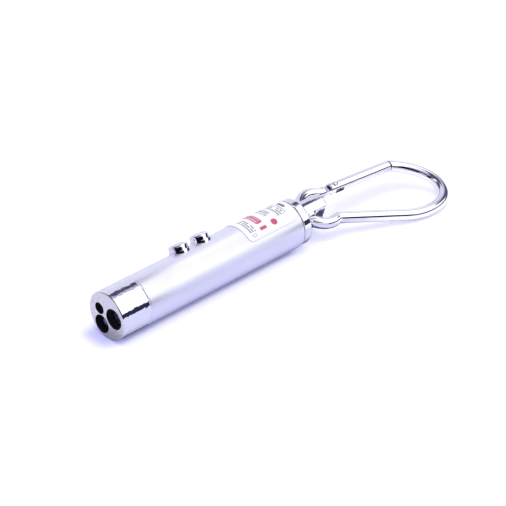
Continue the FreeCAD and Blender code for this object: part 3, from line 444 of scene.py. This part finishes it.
def printed_paper():
    own = finishes()
    material = new_material("printed_paper")
    paint = Paint(material)
    place = paint.place()
    x, y, z = paint.axes(place)
    along = x - LABEL_START
    turned = y * math.cos(BUTTON_ROLL) - z * math.sin(BUTTON_ROLL)
    upward = y * math.sin(BUTTON_ROLL) + z * math.cos(BUTTON_ROLL)
    around = -turned.math("ARCTAN2", upward) * BARREL_RADIUS
    fibre = paint.noise(place, 6.0, 4.0, 0.6)
    grey = None
    for block in TEXT_BLOCKS:
        rows = text_rows(paint, along, around, block)
        grey = rows if grey is None else grey.most(rows)
    line = abs(rounded(along, around, FRAME)) - FRAME_LINE
    grey = grey.most(inked(line, 0.04))
    grey = grey.most(inked(rounded(along, around, BAR)))
    half = (LABEL_END - LABEL_START) / 2
    edge = rounded(along, around, (half, 0.0, half, LABEL_REACH, LABEL_CORNER))
    # Painted shade along the label's cut edge, drawn in the grey ink.
    grey = grey.most(edge.ease(*CUT_EDGE) * (0.45 - along.ease(16.5, 17.5) * 0.25))
    plate = inked(rounded(along, around, PLATE))
    reach_along, reach_around, pitch = STROKES
    strokes = text_rows(paint, along, around,
                        (PLATE[0] - reach_along, PLATE[0] + reach_along,
                         PLATE[1] - reach_around, PLATE[1] + reach_around, pitch))
    disc = inked(rounded(along, around, DISC))
    tab = inked(rounded(along, around, TAB))
    red = (plate * (1 - strokes * 0.5)).most(disc).most(tab)
    worn = fibre.ease(0.15, 0.42)
    stock = paint.blend(fibre * 0.25, own.paper, [part * 0.93 for part in own.paper])
    with_grey = paint.blend(grey * worn * 0.85, stock, own.grey_ink)
    paint.surface(
        Base_Color=paint.blend(red * (0.85 + worn * 0.15), with_grey, own.red_ink),
        Roughness=0.42 + fibre * 0.1 - (grey.most(red)) * 0.08,
        Normal=paint.bump(fibre, 1.5 * MICRON),
        Coat_Weight=0.25,
        Coat_Roughness=0.22,
    )
    return material


def lamp_body():
    """A dark clear dome: what shows through it is a little paler inside."""
    own = finishes()
    material = new_material("lamp_body")
    paint = Paint(material)
    depth = paint.noise(paint.place(), 0.9, 2.0)
    shade = paint.blend(depth.ease(0.4, 0.7), own.lamp, [part * 2.4 for part in own.lamp])
    paint.surface(Base_Color=shade, Roughness=0.08 + depth * 0.08, Coat_Weight=0.6,
                  Coat_Roughness=0.05, Normal=paint.bump(depth, 4 * MICRON))
    return material


# The lens's two pale blues.
LENS_TINTS = ((0.80, 0.86, 0.95), (0.90, 0.93, 1.0))


def clear_lens():
    material = new_material("clear_lens")
    paint = Paint(material)
    haze = paint.noise(paint.place(), 1.4, 3.0)
    shade = paint.blend(haze, *LENS_TINTS)
    paint.surface(Base_Color=shade, Roughness=0.03 + haze * 0.04, IOR=1.49,
                  Transmission_Weight=0.9)
    return material


def turned_metal(name, tint, rough, pitch):
    """Lathe-turned metal with fine rings round the barrel's axis."""
    material = new_material(name)
    paint = Paint(material)
    rings = paint.noise(paint.place((1.0, 0.05, 0.05)), pitch, 2.0)
    stain = paint.noise(paint.place(), 0.8, 4.0)
    shade = paint.blend(stain.ease(0.4, 0.75), tint, [part * 0.82 for part in tint])
    paint.surface(Base_Color=shade, Metallic=1.0, Roughness=rough + (rings - 0.5) * 0.15,
                  Normal=paint.bump(rings, 1.2 * MICRON))
    return material


def moulded(name, tint, rough, texture=3 * MICRON):
    """Moulded plastic or rubber with a fine spark-eroded grain."""
    material = new_material(name)
    paint = Paint(material)
    grain = paint.noise(paint.place(), 7.0, 4.0, 0.6)
    flow = paint.noise(paint.place((0.5, 1.0, 1.0)), 0.5, 2.0)
    shade = paint.blend(flow.ease(0.3, 0.75), tint, [min(1.0, part * 1.25) for part in tint])
    paint.surface(Base_Color=shade, Roughness=rough + (grain - 0.5) * 0.2,
                  Normal=paint.bump(grain, texture))
    return material


# The main board's own direction across the barrel, along y and against z.
BOARD_ACROSS = (0.857, 0.515)


def circuit_board():
    """Solder mask over copper tracks that run across and along the board."""
    own = finishes()
    material = new_material("circuit_board")
    paint = Paint(material)
    place = paint.place()
    x, y, z = paint.axes(place)
    track = (x + paint.noise(place, 0.4, 1.0) * 3.0).rest(1.1).band(0.3, 0.62, 0.04)
    across = y * BOARD_ACROSS[0] - z * BOARD_ACROSS[1]
    track = track.most(across.rest(1.4).band(0.4, 0.68, 0.04))
    weave = paint.noise(place, 9.0, 2.0)
    mask = paint.blend(weave * 0.4, own.board, [part * 0.7 for part in own.board])
    over_copper = [part * 1.7 for part in own.board]
    paint.surface(Base_Color=paint.blend(track, mask, over_copper),
                  Roughness=0.28 + weave * 0.12,
                  Normal=paint.bump(track + weave * 0.2, 12 * MICRON))
    return material


# Pieces

class PieceOperator:
    """What the operators of this part share."""
    bl_options = {"REGISTER", "UNDO"}


class POINTER_OT_nose(PieceOperator, bpy.types.Operator):
    """Plate the nose cap and paint shade into its three windows"""
    bl_idname = "pointer.nose"
    bl_label = "Nose Cap"

    def execute(self, context):
        dress(nose_plating(), "nose_cap")
        return {"FINISHED"}


class POINTER_OT_barrel(PieceOperator, bpy.types.Operator):
    """Give the barrel its satin drawn finish"""
    bl_idname = "pointer.barrel"
    bl_label = "Barrel"

    def execute(self, context):
        dress(satin_barrel(), "barrel_tube")
        return {"FINISHED"}


class POINTER_OT_label(PieceOperator, bpy.types.Operator):
    """Print the paper label with plain marks"""
    bl_idname = "pointer.label"
    bl_label = "Label"

    def execute(self, context):
        dress(printed_paper(), "label")
        return {"FINISHED"}


class POINTER_OT_buttons(PieceOperator, bpy.types.Operator):
    """Plate the two buttons and their collars"""
    bl_idname = "pointer.buttons"
    bl_label = "Buttons and Collars"

    def execute(self, context):
        own = finishes()
        caps = plating("button_plating", own.plating, own.polish, own.wave)
        dress(caps, "front_button", "rear_button", "front_button_collar", "rear_button_collar")
        return {"FINISHED"}


class POINTER_OT_switches(PieceOperator, bpy.types.Operator):
    """Finish the switches and their stems"""
    bl_idname = "pointer.switches"
    bl_label = "Switches"

    def execute(self, context):
        own = finishes()
        dress(moulded("switch_case", own.black_plastic, 0.45), "front_switch", "rear_switch")
        dress(moulded("switch_stem", own.pale_plastic, 0.4), "front_switch_stem",
              "rear_switch_stem")
        return {"FINISHED"}


class POINTER_OT_boards(PieceOperator, bpy.types.Operator):
    """Finish the boards, the chips, the lamp leads and the carrier"""
    bl_idname = "pointer.boards"
    bl_label = "Boards and Carrier"

    def execute(self, context):
        own = finishes()
        dress(circuit_board(), "main_board", "front_board")
        dress(moulded("chip_moulding", own.black_plastic, 0.35), "driver_chips")
        dress(moulded("carrier_moulding", own.black_plastic, 0.5), "board_carrier")
        dress(turned_metal("tinned_lead", own.steel, 0.25, 4.0), "led_leads")
        return {"FINISHED"}


class POINTER_OT_lamps(PieceOperator, bpy.types.Operator):
    """Finish the two lamps behind the nose's windows"""
    bl_idname = "pointer.lamps"
    bl_label = "Lamps"

    def execute(self, context):
        dress(lamp_body(), "white_led", "violet_led")
        return {"FINISHED"}


class POINTER_OT_laser(PieceOperator, bpy.types.Operator):
    """Finish the laser module"""
    bl_idname = "pointer.laser"
    bl_label = "Laser Module"

    def execute(self, context):
        own = finishes()
        dress(turned_metal("module_brass", own.brass, 0.25, 6.0), "laser_housing")
        dress(clear_lens(), "collimating_lens")
        dress(turned_metal("spring_wire", own.steel, 0.22, 5.0), "lens_spring")
        dress(turned_metal("diode_can", own.steel, 0.3, 7.0), "laser_diode")
        return {"FINISHED"}


class POINTER_OT_battery(PieceOperator, bpy.types.Operator):
    """Finish the cells, their sleeve and the front contact"""
    bl_idname = "pointer.battery"
    bl_label = "Battery"

    def execute(self, context):
        own = finishes()
        cells = turned_metal("cell_can", own.steel, 0.24, 3.0)
        dress(cells, "button_cell_1", "button_cell_2", "button_cell_3")
        dress(moulded("sleeve_plastic", own.pale_plastic, 0.35), "battery_sleeve")
        dress(turned_metal("contact_gold", own.gold, 0.2, 5.0), "front_contact")
        return {"FINISHED"}


class POINTER_OT_tail(PieceOperator, bpy.types.Operator):
    """Plate the tail cap and finish its ring and spring"""
    bl_idname = "pointer.tail"
    bl_label = "Tail Cap"

    def execute(self, context):
        own = finishes()
        dress(plating("tail_plating", own.plating, own.polish * 1.6, own.wave * 4, 0.05),
              "tail_cap")
        dress(moulded("ring_rubber", own.rubber, 0.6, 5 * MICRON), "o_ring")
        dress(turned_metal("contact_spring", own.steel, 0.22, 5.0), "tail_spring")
        return {"FINISHED"}


class POINTER_OT_carabiner(PieceOperator, bpy.types.Operator):
    """Plate the carabiner's wire and gate, and finish the gate's works"""
    bl_idname = "pointer.carabiner"
    bl_label = "Carabiner"

    def execute(self, context):
        own = finishes()
        dress(plating("wire_plating", own.plating, own.polish, own.wave), "carabiner_body")
        dress(plating("gate_plating", own.plating, own.polish * 1.2, own.wave), "carabiner_gate")
        dress(plating("rivet_plating", own.plating, own.polish * 1.5, own.wave), "gate_rivet")
        dress(turned_metal("plunger_steel", own.steel, 0.3, 4.0), "gate_plunger")
        dress(turned_metal("gate_spring_wire", own.steel, 0.25, 5.0), "gate_spring")
        return {"FINISHED"}


# Studio

AIM = Vector((35.13, 0.0, 0.0)) * MM
FRAME_SHIFT = Vector((-12.763, -3.529)) * MM
UPWARD = Vector((0.0, 0.0, 1.0))
WHITE = (1.0, 1.0, 1.0)

# What polished metal sees: the softbox, and the dark low down, which is deeper
# on the nose's side and paler on the tail's.
SOFTBOX = (1.3, 1.3, 1.3)
NIGHT = (0.006, 0.004, 0.010)
DARK_ROOM = (0.026, 0.026, 0.070)


def camera_axes(stage):
    """Right, up and forward of the camera."""
    level = Vector((math.cos(stage.heading), math.sin(stage.heading), 0.0))
    forward = level * math.cos(stage.dip) - UPWARD * math.sin(stage.dip)
    up = level * math.sin(stage.dip) + UPWARD * math.cos(stage.dip)
    return forward.cross(up), up, forward


def add_camera(stage):
    right, up, forward = camera_axes(stage)
    place = AIM - right * FRAME_SHIFT.x - up * FRAME_SHIFT.y - forward * stage.distance
    data = bpy.data.cameras.new("product_camera")
    data.sensor_width = 36.0
    data.lens = stage.lens
    data.clip_start = 0.01
    data.clip_end = 20.0
    camera = bpy.data.objects.new("product_camera", data)
    turn = Matrix((right, up, -forward)).transposed()
    camera.matrix_world = Matrix.Translation(place) @ turn.to_4x4()
    bpy.context.scene.collection.objects.link(camera)
    bpy.context.scene.camera = camera


FLOOR_REACH = 0.34
FLOOR_CENTRE = Vector((60.0, 0.0, 0.0)) * MM
FLOOR_CORNERS = 64

# The lit floor's two tones for the camera, which the lamp brightens.
LIT_FLOOR = ((0.55, 0.55, 0.16), (0.57, 0.57, 0.18))

# What the floor adds to them: in the open, and less for painted shadows inside the
# carabiner, before the nose and beside the barrel. Red and green are equal in each.
OPEN_GLOW = (0.51, 0.51, 0.87)
PAINTED_RING_SHADOW = (0.43, 0.43, 0.85)
PAINTED_NOSE_SHADOW = (0.17, 0.17, 0.78)
PAINTED_BARREL_SHADOW = (0.14, 0.14, 0.38)
BLUE_LIFT = 0.03

# The floor as polished metal sees it past the tail, painted paler, and where a piece touches it,
# with painted shadow.
PAINTED_PALE_TAIL_FLOOR = (0.88, 0.88, 0.97)
PAINTED_CONTACT_SHADOW = (0.06, 0.06, 0.11)

# Places of painted shadow on the floor in millimetres: from, to and edge along x, then along y.
BESIDE_BARREL = ((1.5, 65.0, 2.5), (-4.0, 4.5, 1.2))
BEFORE_NOSE = ((-4.0, 12.0, 3.0), (-3.0, 7.0, 3.0))
UNDER_NOSE = ((-4.0, 2.0, 1.8), (-4.0, 4.5, 2.0))

# The painted shadow inside the carabiner: its middle and its half sizes along x and y.
RING_MIDDLE = (101.0, 2.5)
RING_REACH = (17.0, 11.0)

# The painted shadow under the lug: its middle, and how much a step along x counts.
LUG_MIDDLE = (77.0, -2.0)
LUG_STRETCH = 0.6


def patch(along, across, sides):
    """1 inside a rectangle with soft edges."""
    return along.band(*sides[0]) * across.band(*sides[1])


def seen_floor(paint, x, y):
    """The floor for the camera: white where it is lit, darker in the lamp's shadow, and
    with soft shadows painted round the part. A carabiner that swings below it shows
    through, and from below it is clear."""
    grain = paint.noise(paint.place(), 0.05, 2.0)
    lit = paint.node("ShaderNodeBsdfDiffuse", {}, {"Color": paint.blend(grain, *LIT_FLOOR)})
    # Painted shadows on the floor: inside the carabiner, before the nose and beside the barrel.
    off_x = (x - RING_MIDDLE[0]) / RING_REACH[0]
    off_y = (y - RING_MIDDLE[1]) / RING_REACH[1]
    ring_shadow_mask = 1 - (off_x * off_x + off_y * off_y).root().ease(0.3, 1.2)
    glow = paint.blend(ring_shadow_mask, OPEN_GLOW, PAINTED_RING_SHADOW)
    glow = paint.blend(patch(x, y, BEFORE_NOSE), glow, PAINTED_NOSE_SHADOW)
    glow = paint.blend(patch(x, y, BESIDE_BARREL), glow, PAINTED_BARREL_SHADOW)
    grey, _, blue = paint.axes(glow)
    # The white behind the floor comes through as grey. Blue is added to it.
    clear = paint.node("ShaderNodeBsdfTransparent", {}, {"Color": grey})
    more_blue = paint.node("ShaderNodeCombineXYZ", {}, {"Z": blue - grey + BLUE_LIFT}).value()
    tint = paint.node("ShaderNodeEmission", {}, {"Color": more_blue, "Strength": 1.0})
    glass = paint.node("ShaderNodeAddShader", {}, {0: clear.value(), 1: tint.value()})
    table = paint.node("ShaderNodeAddShader", {}, {0: lit.value(), 1: glass.value()})
    nothing = paint.node("ShaderNodeBsdfTransparent", {}, {})
    below = paint.node("ShaderNodeNewGeometry", {}, {}).value("Backfacing")
    return paint.node("ShaderNodeMixShader", {}, {0: below, 1: table.value(), 2: nothing.value()})


def mirrored_floor(paint, x, y, near):
    """The floor for polished metal: the given tone near the part, painted paler past
    the tail, painted shadow where a piece touches it, and dark far off."""
    far = (-y).ease(120.0, 240.0).most((-x).ease(30.0, 75.0))
    # Painted light past the tail, where the wires mirror the floor.
    base = paint.blend(x.ease(80.0, 95.0), near, PAINTED_PALE_TAIL_FLOOR)
    # Painted contact shadows under the barrel, the lug and the nose.
    under_barrel = (1 - abs(y).ease(4.0, 5.6)) * x.band(-1.0, 66.0, 2.0) * 0.5
    off_x = (x - LUG_MIDDLE[0]) * LUG_STRETCH
    off_y = y - LUG_MIDDLE[1]
    under_lug = (1 - (off_x * off_x + off_y * off_y).root().ease(4.0, 7.0)) * 0.9
    under_nose = patch(x, y, UNDER_NOSE) * 0.38
    contact = under_barrel.most(under_lug).most(under_nose)
    floor_with_painted_shadow = paint.blend(contact, base, PAINTED_CONTACT_SHADOW)
    farthest = paint.blend(x.ease(-40.0, 60.0), NIGHT, DARK_ROOM)
    tone = paint.blend(far, floor_with_painted_shadow, farthest)
    return paint.node("ShaderNodeBsdfDiffuse", {}, {"Color": tone})


def floor_material(stage):
    """One floor for the camera and another for everything else."""
    material = new_material("studio_floor")
    paint = Paint(material)
    camera_ray = paint.node("ShaderNodeLightPath", {}, {}).value("Is Camera Ray")
    x, y, _ = paint.axes(paint.place())
    seen = seen_floor(paint, x, y)
    mirrored = mirrored_floor(paint, x, y, stage.floor)
    both = paint.node("ShaderNodeMixShader", {},
                      {0: camera_ray, 1: mirrored.value(), 2: seen.value()})
    paint.node("ShaderNodeOutputMaterial", {}, {"Surface": both.value()})
    return material


def add_floor(stage):
    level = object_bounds()[0][2]
    corners = []
    for step in range(FLOOR_CORNERS):
        angle = 2 * math.pi * step / FLOOR_CORNERS
        corners.append((FLOOR_CENTRE.x + FLOOR_REACH * math.cos(angle),
                        FLOOR_CENTRE.y + FLOOR_REACH * math.sin(angle), level))
    mesh = bpy.data.meshes.new("studio_floor")
    mesh.from_pydata(corners, [], [tuple(range(len(corners)))])
    mesh.materials.append(floor_material(stage))
    floor = bpy.data.objects.new("studio_floor", mesh)
    bpy.context.scene.collection.objects.link(floor)
    floor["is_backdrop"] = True


# The overhead card in millimetres: its height, its ends along x, its near side,
# how far it reaches past its dark strip, and the strip's sides and tone.
CARD_HEIGHT = 40.0
CARD_START = -60.0
CARD_END = 109.0
CARD_NEAR = -3.0
CARD_MARGIN = 8.0
STRIP_ACROSS = (9.5, 24.5)
STRIP_TONE = (0.07, 0.07, 0.13)

# Its bright part: from, to and edge along x, then along y.
OVER_BARREL = (39.0, 92.0, 1.5)
BRIGHT_ACROSS = (1.0, 14.0, 2.0)

# The side card in millimetres: where it stands, its ends along x and z, the part
# of it that shows, and its tones from low to high.
SIDE_CARD_Y = -30.0
SIDE_CARD_X = (25.0, 85.0)
SIDE_CARD_Z = (-7.0, 15.0)
SIDE_COVER = ((28.0, 77.5, 1.5), (-12.0, 12.0, 1.5))
SIDE_TONES = ((0.60, 0.60, 0.84), (0.78, 0.78, 0.94))


def add_card(paint, corners, tone, cover):
    """A card that only polished metal sees, and only where cover is 1."""
    glow = paint.node("ShaderNodeEmission", {}, {"Color": tone, "Strength": 1.0})
    open_air = paint.node("ShaderNodeBsdfTransparent", {}, {})
    both = paint.node("ShaderNodeMixShader", {},
                      {0: cover, 1: open_air.value(), 2: glow.value()})
    paint.node("ShaderNodeOutputMaterial", {}, {"Surface": both.value()})
    name = paint.owner.name
    mesh = bpy.data.meshes.new(name)
    mesh.from_pydata([tuple(Vector(corner) * MM) for corner in corners], [], [(0, 1, 2, 3)])
    mesh.materials.append(paint.owner)
    card = bpy.data.objects.new(name, mesh)
    card.visible_camera = False
    card.visible_diffuse = False
    card.visible_shadow = False
    bpy.context.scene.collection.objects.link(card)
    card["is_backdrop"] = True


def add_overhead_card():
    """A dark strip that the nose and the buttons mirror, and a bright part that
    keeps it off the barrel. It fades out above the carabiner."""
    paint = Paint(new_material("overhead_card"))
    x, y, _ = paint.axes(paint.place())
    drift = (paint.noise(paint.place((0.7, 1.0, 1.0)), 0.20, 3.0) - 0.5) * 14.0
    low, high = STRIP_ACROSS
    over_barrel = x.band(*OVER_BARREL)
    strip = (y + drift).band(low, high, 2.5) * (1 - x.ease(CARD_END - 4.0, CARD_END))
    bright = over_barrel * y.band(*BRIGHT_ACROSS)
    cover = (strip * (1 - over_barrel)).most(bright)
    tone = paint.blend(bright, STRIP_TONE, SOFTBOX)
    beyond = high + CARD_MARGIN
    corners = [(CARD_START, CARD_NEAR, CARD_HEIGHT), (CARD_END, CARD_NEAR, CARD_HEIGHT),
               (CARD_END, beyond, CARD_HEIGHT), (CARD_START, beyond, CARD_HEIGHT)]
    add_card(paint, corners, tone, cover)


def add_side_card():
    """Pale, standing close on the camera's side, where the barrel would mirror
    the dark room. The nose and the wires see past its ends."""
    paint = Paint(new_material("side_card"))
    x, _, z = paint.axes(paint.place())
    tone = paint.blend(z.ease(-2.0, 12.0), *SIDE_TONES)
    start, end = SIDE_CARD_X
    low, high = SIDE_CARD_Z
    corners = [(start, SIDE_CARD_Y, low), (end, SIDE_CARD_Y, low),
               (end, SIDE_CARD_Y, high), (start, SIDE_CARD_Y, high)]
    add_card(paint, corners, tone, patch(x, z, SIDE_COVER))


# The overhead lamp's place and size, in metres.
KEY_PLACE = (0.06, -0.10, 0.54)
KEY_LENGTH = 0.6
KEY_WIDTH = 0.5


def add_key(stage):
    """A wide soft lamp overhead. Metal sees the world's softbox instead."""
    data = bpy.data.lights.new("overhead_key", "AREA")
    data.shape = "RECTANGLE"
    data.size = KEY_LENGTH
    data.size_y = KEY_WIDTH
    data.energy = stage.key
    lamp = bpy.data.objects.new("overhead_key", data)
    lamp.location = KEY_PLACE
    lamp.visible_glossy = False
    bpy.context.scene.collection.objects.link(lamp)


# How high a direction points where the overhead places start and where the upper
# room starts, and how far it leans to the tail where the tail's own tones start.
HORIZON = (0.03, 0.05)
UPPER = (0.50, 0.66)
PAST_END = (0.62, 0.70)

# Places overhead, as x or y over the height: from, to and edge.
SOFTBOX_ALONG = (-0.30, 3.2, 0.06)
SOFTBOX_FAR = 0.10
SOFTBOX_NEAR = -2.8
GAP_ACROSS = (0.10, 0.30, 0.04)
OVERHEAD_DARK = ((-1.30, 0.28, 0.08), (-0.30, 0.45, 0.10))
BACK_DARK = ((-1.6, -0.2, 0.1), (0.30, 2.4, 0.2))
FAR_END_DARK = (-0.80, 0.35, 0.10)

# The tones of the upper room, the gap beside the softbox, the pale sweep from low
# to high, the sweep past the tail, and the dark places overhead.
UPPER_ROOM = (0.50, 0.50, 0.70)
GAP_TONE = (0.48, 0.48, 0.64)
SWEEP = ((0.79, 0.79, 0.94), (0.69, 0.69, 0.88))
SWEEP_PAST_END = (0.93, 0.93, 1.0)
OVERHEAD_TONE = (0.09, 0.09, 0.16)


def studio_reflections(paint):
    """What polished metal sees: a softbox overhead and towards the camera's
    right, a dark room low down, a pale sweep behind the part, and three dark
    places: overhead, behind that, and overhead towards the tail."""
    direction = paint.node("ShaderNodeTexCoord", {}, {}).value("Generated")
    x, y, z = paint.axes(direction)
    height = z.most(HORIZON[0])
    across = y / height
    beside = x / height
    above = z.ease(*HORIZON)
    past_end = x.ease(*PAST_END)
    near_edge = (1 - beside.ease(0.3, 0.5)) * 0.6 + SOFTBOX_NEAR
    softbox = across.band(near_edge, SOFTBOX_FAR, 0.05) * beside.band(*SOFTBOX_ALONG) * above
    low_down = paint.blend(x.ease(-0.15, 0.35), NIGHT, DARK_ROOM)
    room = paint.blend(z.ease(*UPPER), low_down, UPPER_ROOM)
    room = paint.blend(across.band(*GAP_ACROSS) * above, room, GAP_TONE)
    pale = paint.blend(z.ease(0.0, 0.6), *SWEEP)
    pale = paint.blend(past_end, pale, SWEEP_PAST_END)
    backdrop = paint.blend((y - z * 0.30).ease(0.0, 0.06), room, pale)
    lit = paint.blend(softbox, backdrop, SOFTBOX)
    dark = patch(beside, across, OVERHEAD_DARK).most(patch(beside, across, BACK_DARK))
    dark = dark.most(across.band(*FAR_END_DARK) * past_end)
    return paint.blend(dark * above, lit, OVERHEAD_TONE)


def add_world(stage):
    world = bpy.data.worlds.new("studio")
    bpy.context.scene.world = world
    paint = Paint(world)
    rays = paint.node("ShaderNodeLightPath", {}, {})
    shiny = rays.value("Is Glossy Ray").most(rays.value("Is Transmission Ray"))
    seen = paint.blend(shiny, stage.fill, studio_reflections(paint))
    tone = paint.blend(rays.value("Is Camera Ray"), seen, WHITE)
    light = paint.node("ShaderNodeBackground", {}, {"Color": tone, "Strength": 1.0})
    paint.node("ShaderNodeOutputWorld", {}, {"Surface": light.value()})


class POINTER_OT_stage(PieceOperator, bpy.types.Operator):
    """Set up the camera, the pale floor, the cards, the soft lamp and the world"""
    bl_idname = "pointer.stage"
    bl_label = "Studio"

    def execute(self, context):
        stage = context.scene.pointer_stage
        add_camera(stage)
        add_floor(stage)
        add_overhead_card()
        add_side_card()
        add_key(stage)
        add_world(stage)
        context.scene.view_settings.view_transform = "Standard"
        return {"FINISHED"}


class POINTER_PT_panel(bpy.types.Panel):
    """Lists the pieces, the sizes and the colours"""
    bl_label = "Laser Pointer Keychain"
    bl_idname = "POINTER_PT_panel"
    bl_space_type = "VIEW_3D"
    bl_region_type = "UI"
    bl_category = "Pointer"

    def draw(self, context):
        for group in (context.scene.pointer_finishes, context.scene.pointer_stage):
            box = self.layout.box()
            for name in group.__annotations__:
                box.prop(group, name)
        for operator in OPERATORS:
            self.layout.operator(operator.bl_idname)


OPERATORS = (
    POINTER_OT_nose,
    POINTER_OT_barrel,
    POINTER_OT_label,
    POINTER_OT_buttons,
    POINTER_OT_switches,
    POINTER_OT_boards,
    POINTER_OT_lamps,
    POINTER_OT_laser,
    POINTER_OT_battery,
    POINTER_OT_tail,
    POINTER_OT_carabiner,
    POINTER_OT_stage,
)
CLASSES = (PointerFinishes, PointerStage) + OPERATORS + (POINTER_PT_panel,)


def register():
    for item in CLASSES:
        bpy.utils.register_class(item)
    bpy.types.Scene.pointer_finishes = PointerProperty(type=PointerFinishes)
    bpy.types.Scene.pointer_stage = PointerProperty(type=PointerStage)


def unregister():
    del bpy.types.Scene.pointer_stage
    del bpy.types.Scene.pointer_finishes
    for item in reversed(CLASSES):
        bpy.utils.unregister_class(item)


def main():
    register()
    for operator in OPERATORS:
        group, name = operator.bl_idname.split(".")
        getattr(getattr(bpy.ops, group), name)()


if __name__ == "__main__":
    main()
